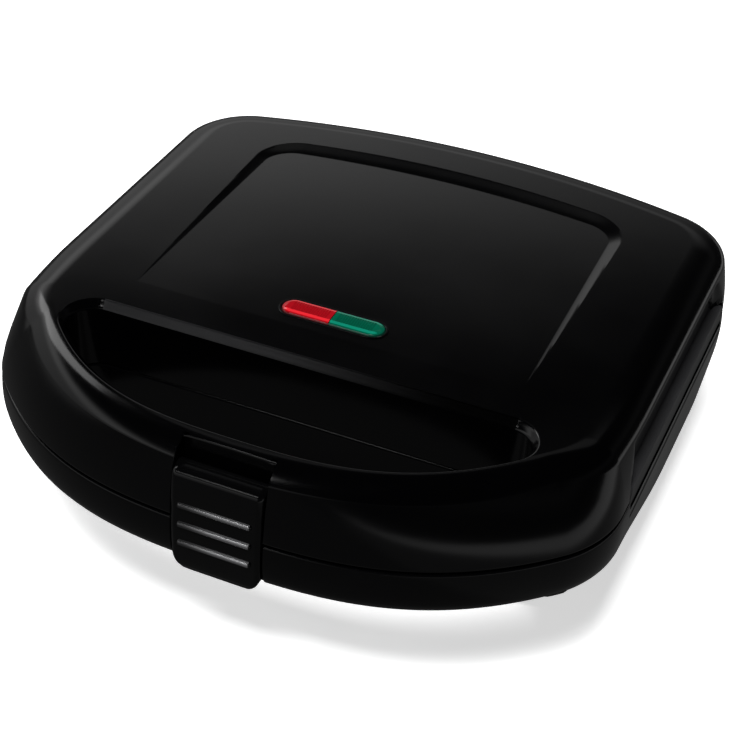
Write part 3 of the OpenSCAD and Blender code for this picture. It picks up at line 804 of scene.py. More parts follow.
    def crease_in(self, p: Vector, share: float) -> float:
        """How far in the crown's lower edge lies."""
        return mix(2.8, 3.5 + 7.8 * min(abs(p.x) / self.bow_x, 1) ** 1.3, share)

    def crease_z(self, share: float) -> float:
        """How high the crown's lower edge lies."""
        return self.height - mix(self.crown_h, self.crease_h, share)

    def crown_point(self, p: Vector, share: float, t: float) -> tuple[float, float]:
        """Section of the crown.

        Args:
            p: point of the outline.
            share: share of the handle's front there.
            t: share of the way from the lower edge to the flat top.

        Returns:
            Inset and height.
        """
        a0 = 4 + 52 * share
        a = mix(a0, 90, t)
        w = self.crown_w * (1 - 0.33 * share)
        return (self.crease_in(p, share) + w * (cos_d(a0) - cos_d(a)) / cos_d(a0),
                mix(self.crease_z(share), self.height, (sin_d(a) - sin_d(a0)) / (1 - sin_d(a0))))

    def sweep(self, z: float) -> float:
        """How far the recess's ends lean in at a height."""
        return self.recess_lean * smooth_step((z - self.z_lid) / (self.height - self.crown_h - self.z_lid))

    def recess_share(self, p: Vector, n: Vector, z: float) -> float:
        """How deep the side recess is, eased at both ends and under the crown.

        Args:
            p: point of the outline.
            n: its outward normal.
            z: height.

        Returns:
            Share of the recess's full depth.
        """
        if abs(n.x) < 0.9:
            return 0.0
        u = (p.y - self.side_0.y) * cos_d(self.flare) + (abs(p.x) - self.side_0.x) * sin_d(self.flare)
        first = self.recess_from + self.sweep(z)
        last = self.side_len + self.recess_from - self.recess_short - self.sweep(z)
        ends = smooth_step((u - first) / 5) * smooth_step((last - u) / 5)
        return ends * (1 - smooth_step((z - self.height + self.crown_h + 1.5) / 1.5))

    def belly(self, p: Vector) -> float:
        """How far the base's side hangs lower than its front, from 0 to 1."""
        along = smooth_step((p.y + 75) / 85) * (1 - smooth_step((p.y - 45) / 45))
        return along * smooth_step((abs(p.x) - 60) / 45)

    def bow_back(self, x: float) -> float:
        """How far the bowed back edge has come forward at x."""
        return self.back_radius - math.sqrt(self.back_radius ** 2 - x * x)

    def side_block(self, side: int, depth: float, z0: float, z1: float, gap: float,
                   thick: float = 30.0) -> Solid:
        """Block along one side's recess, its ends swept in with height.

        Args:
            side: -1 for the left, 1 for the right.
            depth: how far its inner face lies in from the side.
            z0: its lower height.
            z1: its upper height.
            gap: how much shorter than the recess it is at each end.
            thick: how thick it is.

        Returns:
            The block.
        """
        along = Vector((sin_d(self.flare), cos_d(self.flare)))
        out = Vector((along.y, -along.x))
        rings: list[Ring] = []
        for z in [mix(z0, z1, i / 12) for i in range(13)]:
            a = self.recess_from + gap + self.sweep(z)
            b = self.recess_from + self.side_len - self.recess_short - gap - self.sweep(z)
            spots = [self.side_0 + u * along + v * out
                     for u, v in ((a, -depth), (b, -depth), (b, thick - depth), (a, thick - depth))]
            rings.append([(side * spot.x, spot.y, z) for spot in spots])
        return Shop.loft(rings)

    def hollow_grip(self, shell: Solid, z0: float, z1: float) -> None:
        """Hollow a shell's half of the handle and leave its middle solid for the clip.

        Args:
            shell: the shell.
            z0: lower end of the hollow.
            z1: its upper end.
        """
        grip = Shop.prism(self.plan_of(self.recess_d + self.wall + 1), z0, z1)
        Shop.boolean(grip, Shop.slab(self.cav_front - 2 * self.wall, FAR))
        out = self.wall + self.opening_lip
        Shop.boolean(grip, Shop.loft([self.opening_ring(out, z) for z in (0.0, FAR)]))
        Shop.boolean(grip, Shop.slab(-FAR, FAR, self.clip_w / 2 + 4))
        Shop.boolean(shell, grip)

    def cut_handle(self, shell: Solid, rim: Sequence[tuple[float, float]], notch: float) -> None:
        """Cut the handle opening and the notch for the clip.

        Args:
            shell: the shell.
            rim: how far out the opening is at each height.
            notch: depth where the notch ends.
        """
        Shop.boolean(shell, Shop.loft([self.opening_ring(out, z) for out, z in rim]))
        Shop.boolean(shell, Shop.slab(-FAR, notch, self.clip_w / 2 + self.clip_gap))

    def hinge_rod(self, x: float, half: float, radius: float) -> Solid:
        """Round bar on the hinge line, centred on x."""
        return Shop.rod((x - half, self.y_hinge, self.z_hinge), 2 * half, radius)

    def lug(self, shell: Solid, x: float, half: float, root: float, z: tuple[float, float]) -> None:
        """Join a hinge lug and the web that carries it to a shell.

        Args:
            shell: the shell.
            x: middle of the lug.
            half: its half width.
            root: how far forward the web reaches.
            z: heights between which the web stands.
        """
        web = Shop.block((x - half, self.y_hinge - root, z[0]), (x + half, self.y_hinge, z[1]))
        Shop.boolean(shell, self.hinge_rod(x, half, self.hinge_r), Way.JOIN)
        Shop.boolean(shell, web, Way.JOIN)


# ---- lid


@dataclass
class Lid:
    """The lid's cover, with its crown, handle half, panel, recesses and knuckles."""

    plan: Plan
    panel_d: float = 1.3
    panel_half: float = 81.0
    panel_bank: float = 9.5
    panel_side: float = 6.5
    panel_r: float = 17.0
    panel_front: float = 12.0
    panel_rear: float = 31.0
    clip_pin_r: float = 1.5
    clip_pin_out: float = 9.0
    web: float = 9.5

    def skin(self) -> Solid:
        """Outer skin from the parting edge over the skirt and crown to the flat top.

        Returns:
            The closed skin.
        """
        plan = self.plan
        edge = ((0.9, 0), (0.32, 0.18), (0.08, 0.55), (0.0, 1.2))
        rings = [plan.ring(inset, plan.z_lid + up) for inset, up in edge]
        for t in (0.3, 0.5, 0.66, 0.8, 0.88, 0.925, 0.945, 0.965, 0.985):
            rings.append([self._skirt(p, n, s, t) for p, n, s in plan.outline])
        for t in (0.0, 0.03, 0.08, 0.16, 0.26, 0.37, 0.5, 0.63, 0.76, 0.88, 1.0):
            rings.append([inward(p, n, *plan.crown_point(p, s, t)) for p, n, s in plan.outline])
        return Shop.loft(rings, "lid_shell")

    def _skirt(self, p: Vector, n: Vector, share: float, t: float) -> Point:
        """Point of the skirt.

        Args:
            p: point of the outline.
            n: its outward normal.
            share: share of the handle's front there.
            t: share of the way up to the crown's lower edge.

        Returns:
            The point.
        """
        z = mix(self.plan.z_lid, self.plan.crease_z(share), t)
        inset = self.plan.crease_in(p, share) * t ** 1.6
        if inset < self.plan.recess_d:
            inset = mix(inset, self.plan.recess_d, self.plan.recess_share(p, n, z))
        return inward(p, n, inset, z)

    def hollow(self, shell: Solid) -> None:
        """Cut the hollow over the plates, stepped in under the crown, and the handle's hollow.

        Args:
            shell: the cover.
        """
        plan = self.plan
        steps = ((0, plan.z_lid - 1), (0, plan.z_under - 8), (8, plan.z_under - 1.5), (10, plan.z_under))
        inner = Shop.loft([plan.ring(plan.recess_d + plan.wall + inset, z) for inset, z in steps])
        Shop.boolean(inner, Shop.slab(-FAR, plan.cav_front))
        Shop.boolean(shell, inner)
        plan.hollow_grip(shell, plan.z_lid - 1, plan.height - plan.crown_h - 5)

    def open_recess(self, shell: Solid) -> None:
        """Open the foot of each side's recess, where the base's ledge stands.

        Args:
            shell: the cover.
        """
        plan = self.plan
        depth = plan.recess_d + plan.wall + 0.2
        for side in (-1, 1):
            Shop.boolean(shell, plan.side_block(side, depth, plan.z_lid - 1, plan.z_side, 0.0))

    def open_handle(self, shell: Solid) -> None:
        """Cut the opening with its chamfered upper rim, and the notch for the clip.

        Args:
            shell: the cover.
        """
        h, lip = self.plan.height, self.plan.opening_lip
        rim = [(0.0, 40.0), (0.0, h - lip - 0.8), (0.07, h - lip - 0.35), (0.3, h - lip + 0.08),
               (0.75, h - lip + 0.6), (1.6, h - 1.1), (lip - 0.5, h - 0.34), (lip - 0.1, h - 0.08),
               (lip + 0.35, h + 0.02), (lip + 1.2, h + 0.05), (lip + 1.2, h + 2)]
        self.plan.cut_handle(shell, rim, self.plan.notch_y)

    def panel_ring(self, d: float, z: float) -> Ring:
        """One contour of the shallow top panel.

        Args:
            d: how far in over its bank, from 0 at the foot's edge.
            z: height over the panel's floor.

        Returns:
            The contour.
        """
        plan = self.plan
        y0, y1 = plan.light_y - self.panel_front, plan.y_back - self.panel_rear
        w, r = self.panel_half - self.panel_side * d, self.panel_r - self.panel_side * d
        front, back = y0 + 2 * d, y1 - self.panel_bank * d
        half: Flat = [(w * i / 12, front) for i in range(12)]
        half += [(w, mix(front, back - r, i / 14)) for i in range(14)]
        half += [(p.x, p.y) for p, _ in arc(Vector((w - r, back - r)), r, 0, 90, 20)]
        half += [((w - r) * (1 - i / 14), back) for i in range(1, 15)]
        slope = self.panel_d / (y1 - y0)
        ring: Ring = []
        for x, y in half + [(-x, y) for x, y in reversed(half[1:-1])]:
            y_bowed = y - plan.bow_back(x) * max(y - plan.light_y, 0) / (y1 - plan.light_y)
            ring.append((x, y_bowed, plan.height + z - slope * (y_bowed - y0)))
        return ring

    def sink_panel(self, shell: Solid) -> None:
        """Sink the top panel, its bank eased at foot and rim.

        Args:
            shell: the cover.
        """
        past = 1.3
        rings = [self.panel_ring(1.0 - past * t, past * self.panel_d * mix(t, smooth_step(t), 0.45))
                 for t in (0.0, 0.05, 0.12, 0.22, 0.35, 0.5, 0.65, 0.78, 0.9, 1.0)]
        Shop.boolean(shell, Shop.loft(rings))

    def light_pocket(self, shell: Solid) -> None:
        """Cut the pill-shaped pocket of the pilot lights and the way through under it.

        Args:
            shell: the cover.
        """
        plan = self.plan
        for narrower, deep in ((0.0, 1.2), (4.0, 10.0)):
            pill = pill_plan(plan.light_len - narrower, plan.light_w - narrower, plan.light_y)
            Shop.boolean(shell, Shop.prism(pill, plan.height - deep, plan.height + 5))

    def knuckles(self, shell: Solid) -> None:
        """Add the two hinge knuckles and bore them for their pins.

        Args:
            shell: the cover.
        """
        plan = self.plan
        for x in (-plan.hinge_x, plan.hinge_x):
            plan.lug(shell, x, plan.knuckle, self.web, (plan.z_lid + 0.6, plan.z_lid + plan.hinge_r - 0.4))
            Shop.boolean(shell, plan.hinge_rod(x, plan.knuckle + 1, plan.hinge_pin_r + 0.05))

    def round_off(self, shell: Solid) -> None:
        """Round the notch's edges and the upper edge of each recess's foot.

        Args:
            shell: the cover.
        """
        plan = self.plan
        half, notch = plan.clip_w / 2, plan.notch_y
        Shop.round_edges(shell, 0.7, lambda a, b: max(a.y, b.y) < notch + 0.2
                         and at(half, 0.4, abs(a.x), abs(b.x)) and min(a.z, b.z) > plan.z_lid + 1)
        Shop.round_edges(shell, 0.7, lambda a, b: at(notch, 0.1, a.y, b.y)
                         and min(a.z, b.z) > plan.height - 8 and max(abs(a.x), abs(b.x)) < half + 1)
        Shop.round_edges(shell, 0.5, lambda a, b: at(plan.z_side, 0.05, a.z, b.z)
                         and min(abs(a.x), abs(b.x)) > plan.side_from)

    def build(self) -> None:
        """Model and dress the cover."""
        plan = self.plan
        shell = self.skin()
        for step in (self.hollow, self.open_recess, self.sink_panel, self.open_handle, self.light_pocket,
                     self.knuckles):
            step(shell)
        width = plan.clip_w + 2 * self.clip_pin_out
        Shop.boolean(shell, Shop.rod((-width / 2, plan.clip_y, plan.clip_z), width, self.clip_pin_r))
        Shop.tidy(shell)
        self.round_off(shell)
        Shop.smooth(shell, 34)
        finish_piece(shell, GLOSS_BLACK, "lid", "shell", "lid_cover")
        # Painted highlight along the rounded lower edge of each side recess.
        second_finish(shell, EDGE_HIGHLIGHT, lambda c, n: abs(c.x) > plan.side_from and abs(n.x) > 0.3
                      and plan.z_side - 0.02 < c.z < plan.z_side + 0.5)
        # The rear chamfer of the handle opening is satin, with a painted highlight that fades from the left
        # to the right.
        back, lip = plan.opening_back, plan.opening_lip
        second_finish(shell, SATIN_TRIM_HIGHLIGHT, lambda c, n: back - 0.1 < c.y < back + lip + 0.6 and abs(c.x) < 79
                      and plan.height - lip - 0.4 < c.z and 0.05 < n.z < 0.985)


# ---- base


@dataclass
class Base:
    """The base's upper moulding and the tub under it."""

    plan: Plan
    deck_t: float = 5.0
    groove_d: float = 2.4
    groove_h: float = 2.6
    groove_z: float = 58.4
    ridge_d: float = 0.3
    ridge_h: float = 0.9
    ridge_z: float = 55.4
    side_drop: float = 18.0
    plate_w: float = 204.0
    plate_d: float = 146.0
    plate_y: float = 24.4
    seat_z: float = 59.7
    seat_gap: float = 0.4
    seat_r: float = 8.0
    window_in: float = 8.0
    window_r: float = 5.0
    throat_in: float = 11.0
    web: float = 16.0
    play: float = 0.6

    def rim_skin(self) -> Solid:
        """Rounded band from the tub up to the parting edge, hanging lower at the sides.

        Returns:
            The closed skin.
        """
        plan, z = self.plan, self.plan.z_band
        profile = [(8.6, 0.3), (7.0, 0.0), (5.0, 0.25), (3.2, 0.8), (1.9, 1.5), (1.0, 2.3), (0.35, 3.3),
                   (-0.1, 4.5), (-0.35, 5.5), (-0.5, 6.7), (-0.62, 8.0), (-plan.band_out, 10.0),
                   (-0.66, 12.5), (-0.5, 15.0), (-0.3, 17.0), (-0.16, 18.0), (0.05, 18.45), (0.35, 18.68),
                   (0.9, plan.z_rim - z)]
        rings = [plan.ring(9.4, z + 0.1)]
        for inset, up in profile:
            drop = self.side_drop * (1 - smooth_step(up / 10))
            rings.append([inward(p, n, inset, z + up - drop * plan.belly(p)) for p, n, _ in plan.outline])
        return Shop.loft(rings, "base_shell")

    def ledges(self, shell: Solid) -> None:
        """Add the side ledges at the foot of the lid's recesses, the groove and the ridge line.

        Args:
            shell: the moulding.
        """
        plan = self.plan
        deep = plan.recess_d + plan.wall - 0.6
        for side in (-1, 1):
            ledge = plan.side_block(side, deep, plan.z_rim - 2.5, plan.z_side - 0.8, 1.2, deep)
            Shop.bevel_all(ledge, 0.9, 4, 40)
            Shop.boolean(shell, ledge, Way.JOIN)
            for depth, z, height in ((self.groove_d, self.groove_z, self.groove_h),
                                     (self.ridge_d, self.ridge_z, self.ridge_h)):
                Shop.boolean(shell, plan.side_block(side, depth, z, z + height, 2.0, 20.0))

    def ears(self, shell: Solid) -> None:
        """Add the hinge ears on both sides of each knuckle.

        Args:
            shell: the moulding.
        """
        plan = self.plan
        out = plan.knuckle + self.play + plan.ear / 2
        for s in (-1, 1):
            for e in (-1, 1):
                plan.lug(shell, s * plan.hinge_x + e * out, plan.ear / 2, self.web,
                         (plan.z_rim - plan.hinge_r, plan.z_rim - 0.4))

    def hollow(self, shell: Solid) -> None:
        """Cut the inside, its way into the tub and the handle's hollow.

        Args:
            shell: the moulding.
        """
        plan = self.plan
        inner = Shop.prism(plan.plan_of(plan.recess_d + 2 * plan.wall - plan.band_out),
                           plan.z_band + plan.wall, plan.z_rim - self.deck_t)
        Shop.boolean(inner, Shop.slab(-FAR, plan.cav_front - plan.band_out))
        Shop.boolean(shell, inner)
        throat = Shop.prism(plan.plan_of(self.throat_in + plan.wall),
                            plan.z_band - 1, plan.z_band + plan.wall + 1)
        Shop.boolean(throat, Shop.slab(-FAR, plan.cav_front + 3 + plan.wall))
        Shop.boolean(shell, throat)
        plan.hollow_grip(shell, plan.z_band - 1, plan.z_rim - 4)

    def open_deck(self, shell: Solid) -> None:
        """Cut the plate's seat and window, the handle opening and the notch for the clip.

        Args:
            shell: the moulding.
        """
        plan = self.plan
        for grow, r, z0, z1 in ((self.seat_gap, self.seat_r, self.seat_z, plan.height),
                                (-self.window_in, self.window_r, plan.z_band, plan.height)):
            hole = round_plan(self.plate_w + grow, self.plate_d + grow, r, self.plate_y)
            Shop.boolean(shell, Shop.prism(hole, z0, z1))
        top = plan.z_rim
        rim = [(0.0, 30.0), (0.0, top - 0.7), (0.12, top - 0.3), (0.5, top + 0.05), (1.0, 80.0)]
        plan.cut_handle(shell, rim, plan.y_front + 3)

    def hinge_room(self, shell: Solid) -> None:
        """Clear the lid's knuckles and bore the ears.

        Args:
            shell: the moulding.
        """
        plan = self.plan
        for x in (-plan.hinge_x, plan.hinge_x):
            Shop.boolean(shell, plan.hinge_rod(x, plan.knuckle + plan.ear + 2, plan.hinge_pin_r))
            Shop.boolean(shell, plan.hinge_rod(x, plan.knuckle + self.play / 2, plan.hinge_r + 0.5))

    def round_off(self, shell: Solid) -> None:
        """Round the notch's edges and those of the groove and the ridge line.

        Args:
            shell: the moulding.
        """
        plan = self.plan
        lines = (self.groove_z, self.groove_z + self.groove_h, self.ridge_z, self.ridge_z + self.ridge_h)
        Shop.round_edges(shell, 0.6, lambda a, b: max(a.y, b.y) < plan.y_front + 3.3
                         and at(plan.clip_w / 2, 0.4, abs(a.x), abs(b.x)))
        Shop.round_edges(shell, 0.4, lambda a, b: any(at(z, 0.05, a.z, b.z) for z in lines)
                         and min(abs(a.x), abs(b.x)) > plan.side_from)

    def build(self) -> None:
        """Model and dress the moulding and the tub."""
        plan = self.plan
        shell = self.rim_skin()
        for step in (self.ledges, self.ears, self.hollow, self.open_deck, self.hinge_room):
            step(shell)
        Shop.tidy(shell)
        self.round_off(shell)
        Shop.smooth(shell, 34)
        finish_piece(shell, GLOSS_BASE, "base", "shell", "base_rim")
        groove_top, side_1 = self.groove_z + self.groove_h, plan.side_0.y + plan.side_len
        # The side ledges are satin and coloured lighter as a painted highlight.
        second_finish(shell, SATIN_LEDGE_HIGHLIGHT, lambda c, n: abs(c.x) > plan.side_from and c.z > groove_top
                      and plan.side_0.y + plan.recess_from < c.y < side_1
                      and (c.z > plan.z_rim + 0.05 or abs(n.x) > 0.8))
        # Painted highlight along the groove's lower edge and along the ridge line.
        second_finish(shell, EDGE_HIGHLIGHT, lambda c, n: abs(c.x) > plan.side_from and abs(n.x) > 0.3
                      and any(at(z, 0.22, c.z) for z in (self.groove_z - 0.2, self.ridge_z + 1.1)))
        tub = Shop.soft_copy("base_pan", "base_tub", 0.5, 2, 32)
        finish_piece(tub, TUB_BLACK, "base", "tub", "base_tub")


# ---- clip


@dataclass
class Clip:
    """The swinging clip: a curved plate with three ribs, a barrel and a hook."""

    plan: Plan
    barrel_r: float = 3.4
    bore_r: float = 1.55
    rib_r: float = 1.15
    rib_back: tuple[float, float, float] = (1.25, 0.45, 0.0)
    rib_top: float = 20.5
    rib_pitch: float = 7.6
    rib_in: float = 3.0
    proud: float = 1.7
    below: float = 3.4
    corner: float = 10.0

    def __post_init__(self) -> None:
        """Work out the foremost depth, the lowest height and the ribs' axes."""
        self.front = self.plan.y_front - self.proud
        self.low = self.plan.z_band - self.below
        self.axes = [Vector((self.front + back, self.plan.height - self.rib_top - self.rib_pitch * k))
                     for k, back in enumerate(self.rib_back)]

    def profile(self) -> tuple[Flat, Flat]:
        """Side profile of the clip, counter-clockwise.

        Returns:
            Depth and height of the points of its outer face, and of its back with the hook.
        """
        plan, f, low = self.plan, self.front, self.low
        h, y, band, back = plan.height, plan.y_front, plan.z_band, plan.y_front + 12
        face = [(plan.clip_y + 1, h - 7.8), (y + 2.8, h - 7.9), (y + 1.5, h - 8.6), (y + 0.7, h - 9.9),
                (y + 0.1, h - 13), (y - 0.6, h - 18), (f + 1.05, h - 22.5), (f + 0.5, h - 27),
                (f + 0.15, h - 31), (f, h - 35), (f + 0.05, low + 7), (f + 0.25, low + 4),
                (f + 0.75, low + 2.3), (f + 1.7, low + 1.1), (f + 2.9, low + 0.3), (f + 4.2, low)]
        rear = [(back, low + 0.4), (back, band - 0.5), (back - 3.2, band - 0.5), (back - 3.6, band - 1),
                (f + 5, band - 1), (f + 4.4, band + 1.4), (f + 4.2, band + 4), (f + 4, h - 34),
                (f + 4.6, h - 24), (plan.clip_y - 2.6, h - 14), (plan.clip_y, h - 12.5)]
        return face, rear

    def body(self) -> Solid:
        """Extruded profile with rounded sides, trimmed to round lower corners.

        Returns:
            The plate with its hook.
        """
        half = self.plan.clip_w / 2
        face, rear = self.profile()
        points = [Vector(point) for point in face + rear]
        steps = [(0.0, 1.9), (0.12, 1.25), (0.4, 0.75), (0.85, 0.36), (1.4, 0.1), (2.0, 0.0)]
        across = [(x - half, inset) for x, inset in steps]
        across += [(half - x, inset) for x, inset in reversed(steps)]
        rings: list[Ring] = []
        for x, inset in across:
            ring: Ring = []
            for i, point in enumerate(points):
                along = (points[(i + 1) % len(points)] - points[i - 1]).normalized()
                reach = inset if point.x < self.plan.y_front + 3.2 and i < len(face) else 0.25 * inset
                ring.append((x, point.x - along.y * reach, point.y + along.x * reach))
            rings.append(ring)
        piece = Shop.loft(rings, "clip_plate")
        trim = round_plan(self.plan.clip_w, 100, self.corner, self.low + 50, 16)
        Shop.boolean(piece, Shop.loft([[(x, y, z) for x, z in trim] for y in (-FAR, FAR)]), Way.MEET)
        Shop.tidy(piece)
        Shop.round_edges(piece, 0.7, lambda a, b: max(a.z, b.z) < self.low + self.corner + 0.2
                         and max(a.y, b.y) < self.front + 3, 50)
        return piece

    def bar(self, axis: Vector, half: float, radius: float, sides: int = 48) -> Solid:
        """Round bar across the clip on an axis given by depth and height."""
        return Shop.rod((-half, axis.x, axis.y), 2 * half, radius, sides)

    def build(self) -> None:
        """Model and dress the clip."""
        piece = self.body()
        half, pivot = self.plan.clip_w / 2, Vector((self.plan.clip_y, self.plan.clip_z))
        barrel = self.bar(pivot, half, self.barrel_r)
        Shop.bevel_all(barrel, 0.5, 3, 60)
        Shop.boolean(piece, barrel, Way.JOIN)
        for axis in self.axes:
            rib = self.bar(axis, half - self.rib_in, self.rib_r, 32)
            Shop.bevel_all(rib, 1.0, 4, 60)
            Shop.boolean(piece, rib, Way.JOIN)
        Shop.boolean(piece, self.bar(pivot, 2 * half, self.bore_r))
        Shop.tidy(piece)
        Shop.smooth(piece, 38)
        finish_piece(piece, GLOSS_CLIP, "clip", "clip", "clip")
        # The ribs' faces carry a painted highlight.
        second_finish(piece, RIB_HIGHLIGHT, lambda c, n: abs(c.x) < half - self.rib_in and c.y < self.plan.y_front
                      and any(at(self.rib_r, 0.05, (Vector((c.y, c.z)) - axis).length) for axis in self.axes))


# ---- pilot lights


@dataclass
class Lights:
    """Red and green lens with fine ribs, in a thin-rimmed frame."""

    plan: Plan
    rim_w: float = 2.3
    stem_in: float = 5.4
    stem_d: float = 6.0
    half_gap: float = 0.15
    grooves: int = 15
    groove_from: float = 2.2
    groove_pitch: float = 0.95
    groove_d: float = 0.4
    groove_end: float = 3.2

    def lens(self, name: str, side: int) -> Solid:
        """One half of the pill: a crowned top, a stem under it and cut ribs.

        Args:
            name: name of the piece.
            side: -1 for the left half, 1 for the right.

        Returns:
            The lens.
        """
        plan = self.plan
        rings: list[Ring] = []
        for inset, up in ((0.0, -0.7), (0.0, -0.1), (0.1, 0.2), (0.4, 0.55), (0.85, 0.84), (1.35, 1.03),
                          (1.75, 1.12), (1.95, 1.18), (2.2, 1.2)):
            less = self.rim_w + 2 * inset
            pill = pill_plan(plan.light_len - less, plan.light_w - less, plan.light_y, 14)
            rings.append([(x, y, plan.height + up) for x, y in pill])
        piece = Shop.loft(rings, name)
        stem = pill_plan(plan.light_len - self.stem_in, plan.light_w - self.stem_in, plan.light_y)
        Shop.boolean(piece, Shop.prism(stem, plan.height - self.stem_d, plan.height), Way.JOIN)
        x0, x1 = sorted((side * self.half_gap, side * FAR))
        Shop.boolean(piece, Shop.block((x0, -FAR, 0), (x1, FAR, FAR)), Way.MEET)
        for i in range(self.grooves):
            Shop.boolean(piece, self._groove(side * (self.groove_from + self.groove_pitch * i)))
        Shop.tidy(piece, 0.005)
        Shop.smooth(piece, 40)
        return piece

    def _groove(self, x: float) -> Solid:
        """Shallow V across the lens.

        Args:
            x: its middle.

        Returns:
            The tool that cuts it.
        """
        plan, d = self.plan, self.groove_d
        z, reach = plan.height + 1.23, plan.light_w / 2 - self.groove_end
        across = [(x - d, z), (x, z - d), (x + d, z)]
        ends = (plan.light_y - reach, plan.light_y + reach)
        return Shop.loft([[(px, y, pz) for px, pz in across] for y in ends])

    def build(self) -> None:
        """Model and dress both lenses and the frame."""
        plan = self.plan
        for name, side, node, finish, highlight_finish, shade_finish in (
                ("lens_left", -1, "lens_red", RED_LENS, RED_LENS_HIGHLIGHT, RED_LENS_SHADE),
                ("lens_right", 1, "lens_green", GREEN_LENS, GREEN_LENS_HIGHLIGHT, GREEN_LENS_SHADE)):
            lens = finish_piece(self.lens(name, side), finish, "lid", node, node)
            # The lens crown's rim faces get a painted highlight, its low flanks painted shade.
            second_finish(lens, highlight_finish, lambda c, n: c.z > plan.height + 0.86 and 0.72 < n.z < 0.992
                          and abs(c.y - plan.light_y) > plan.light_w / 2 - 3.3)
            second_finish(lens, shade_finish, lambda c, n: n.z < 0.72 and c.z < plan.height + 0.6)
        rim = Shop.soft_copy("light_rim", "light_bezel", 0.22, 2, 40)
        finish_piece(rim, GLOSS_CLIP, "lid", "bezel", "light_bezel")


# ---- plates and inner parts


@dataclass
class Inside:
    """Cooking plates with cast edges, and the finishes of the inner parts."""

    edge: float = 0.8

    def build(self) -> None:
        """Dress the plates and every frame solid that stays."""
        for node, body in (("lower_plate", "base"), ("upper_plate", "lid")):
            plate = Shop.soft_copy(f"{body}_plate_cast", node, self.edge, 3, 24)
            finish_piece(plate, COATING, body, "plate", node)
        for node, finish in NODE_FINISH.items():
            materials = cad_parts[node].data.materials
            if not materials:
                materials.append(None)
            for k in range(len(materials)):
                materials[k] = finish.make()
            LOG.info("%s wears %s", node, finish.name)


# ---- studio


@dataclass
class Softbox:
    """One soft lamp.

    Attributes:
        place: where it stands.
        size: its width and height.
        power: its power in watts.
        mirrored: whether glossy surfaces show it.
        target: what it points at.
    """

    place: Point
    size: tuple[float, float]
    power: float
    mirrored: bool = True
    target: Point = (0.0, 0.0, 0.05)

    def build(self, name: str) -> None:
        """Hang the lamp.

        Args:
            name: its name.
        """
        data = bpy.data.lights.new(name, "AREA")
        data.shape = "RECTANGLE"
        data.size, data.size_y = self.size
        data.energy = self.power
        lamp = bpy.data.objects.new(name, data)
        lamp.visible_glossy = self.mirrored
        bpy.context.scene.collection.objects.link(lamp)
        lamp.location = self.place
        lamp.rotation_euler = (Vector(self.target) - Vector(self.place)).to_track_quat("-Z", "Y").to_euler()


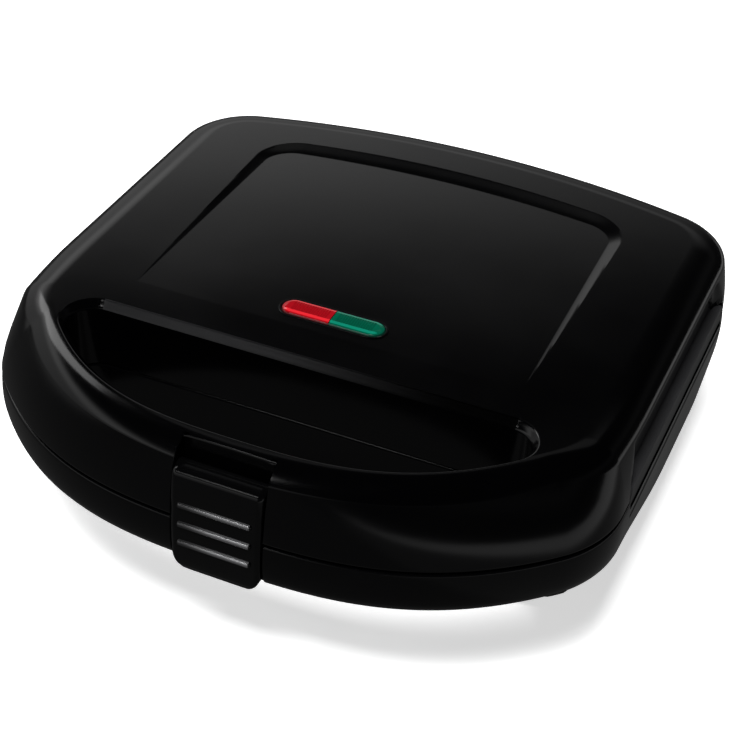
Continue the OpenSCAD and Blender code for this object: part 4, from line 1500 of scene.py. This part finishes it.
@dataclass
class Studio:
    """White floor, even sky, soft lamps and the camera."""

    pos: Point = (0.174510, -0.436336, 0.392850)
    right: Point = (0.917499, 0.395952, 0.037651)
    up: Point = (-0.263217, 0.533494, 0.803804)
    back: Point = (0.298181, -0.747400, 0.593701)
    focal_px: float = 1485.76
    centre: tuple[float, float] = (368.44, 364.95)
    frame_px: int = 736
    sensor: float = 36.0
    floor_size: float = 12.0
    floor_drop: float = 0.0002
    lit: float = 0.62

    def camera(self) -> None:
        """Place the camera."""
        data = bpy.data.cameras.new("camera")
        data.sensor_width = self.sensor
        data.lens = self.focal_px * self.sensor / self.frame_px
        half = self.frame_px / 2
        data.shift_x = (half - self.centre[0]) / self.frame_px
        data.shift_y = (self.centre[1] - half) / self.frame_px
        data.clip_start, data.clip_end = 0.01, 50.0
        cam = bpy.data.objects.new("camera", data)
        bpy.context.scene.collection.objects.link(cam)
        rows = Matrix((self.right, self.up, self.back)).transposed()
        cam.matrix_world = Matrix.Translation(self.pos) @ rows.to_4x4()
        bpy.context.scene.camera = cam

    def floor(self) -> None:
        """Lay a floor that is white to the camera and to clear parts, and keeps the shadow."""
        Shop.clear_selection()
        bpy.ops.mesh.primitive_plane_add(size=self.floor_size, location=(0, 0, -self.floor_drop))
        floor = Shop.place(bpy.context.object)
        floor.name = "floor"
        material = bpy.data.materials.new("white_floor")
        material.use_nodes = True
        graph = Graph(material.node_tree)
        graph.tree.nodes.remove(graph.tree.nodes["Principled BSDF"])
        path = graph.add("LightPath")
        pale = graph.add("Mix", {"A": (0.03, 0.03, 0.03, 1), "B": (0.95, 0.95, 0.95, 1)}, data_type="RGBA")
        cloth, glow, both = (graph.add(kind) for kind in ("BsdfDiffuse", "Emission", "AddShader"))
        graph.join(path, "Is Camera Ray", pale, "Factor")
        graph.join(pale, "Result", cloth, "Color")
        graph.join(self.floor_light(graph, path), 0, glow, "Strength")
        graph.join(cloth, 0, both, 0)
        graph.join(glow, 0, both, 1)
        graph.join(both, 0, graph.tree.nodes["Material Output"], "Surface")
        floor.data.materials.append(material)

    def floor_light(self, graph: Graph, path: Node) -> Node:
        """Light of the floor: full to camera and clear parts, low in gloss, with a brighter right.

        Args:
            graph: nodes of the floor's material.
            path: its light path node.

        Returns:
            The node that gives the strength.
        """
        where, split = graph.add("TexCoord"), graph.add("SeparateXYZ")
        near, side = graph.span(0.116, 0.03, 0.130, 0.07), graph.span(0.29, 0.0, 0.42, 1.0)
        curve = graph.add("Math", {1: 2.0}, operation="POWER")
        card = graph.add("Math", {1: 0.55}, operation="MULTIPLY_ADD")
        clear = graph.add("Math", operation="MAXIMUM")
        seen = graph.add("Math", {1: self.lit}, operation="MULTIPLY")
        light = graph.add("Math", operation="MULTIPLY_ADD")
        for source, out, target, into in (
                (where, "Object", split, 0), (split, "X", side, "Value"), (split, "X", near, "Value"),
                (side, "Result", curve, 0), (curve, 0, card, 0), (near, "Result", card, 2),
                (path, "Is Camera Ray", clear, 0), (path, "Is Transmission Ray", clear, 1),
                (clear, 0, seen, 0), (path, "Is Glossy Ray", light, 0), (card, 0, light, 1),
                (seen, 0, light, 2)):
            graph.join(source, out, target, into)
        return light

    def sky(self) -> None:
        """Sky that is brightest low behind the body and to the left, and dark overhead."""
        world = bpy.data.worlds.new("studio")
        bpy.context.scene.world = world
        world.use_nodes = True
        graph = Graph(world.node_tree)
        where, split = graph.add("TexCoord"), graph.add("SeparateXYZ")
        levels = ((0.0, 0.20), (0.30, 0.25), (0.39, 0.60), (0.44, 0.60), (0.475, 0.40), (0.50, 0.18),
                  (0.52, 0.08), (0.545, 0.022), (0.58, 0.003), (1.0, 0.002))
        ramp = graph.ramp([(place, (level, level, level)) for place, level in levels], "EASE")
        lean = graph.span(-0.6, 1.75, 0.2, 0.08, "SMOOTHSTEP")
        sky = graph.tree.nodes["Background"]
        graph.join(where, "Generated", split, 0)
        graph.join(split, "Z", ramp, "Fac")
        graph.join(split, "X", lean, "Value")
        graph.join(lean, "Result", sky, "Strength")
        graph.join(ramp, "Color", sky, "Color")

    def lamps(self) -> None:
        """Hang the soft lamps."""
        Softbox((-1.3, 0.5, 1.1), (0.5, 0.7), 3.2).build("left")
        Softbox((-0.16, 0.91, 1.23), (1.2, 0.35), 0.27).build("rear_high")
        Softbox((-0.39, -0.89, 1.02), (0.25, 0.12), 0.5).build("front_left")
        Softbox((0.04, -0.68, 1.6), (0.55, 0.55), 42.0, mirrored=False).build("over")

    def build(self) -> None:
        """Set up floor, sky, lamps and camera."""
        bpy.context.scene.view_settings.view_transform = "Standard"
        self.floor()
        self.sky()
        self.lamps()
        self.camera()


# ---- all together


def main() -> None:
    """Build every piece in order, then set up the studio."""
    logging.basicConfig(level=logging.INFO, format="%(name)s: %(message)s")
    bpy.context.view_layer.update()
    plan = Plan()
    Lid(plan).build()
    Base(plan).build()
    Clip(plan).build()
    Lights(plan).build()
    Inside().build()
    Studio().build()


if __name__ == "__main__":
    main()
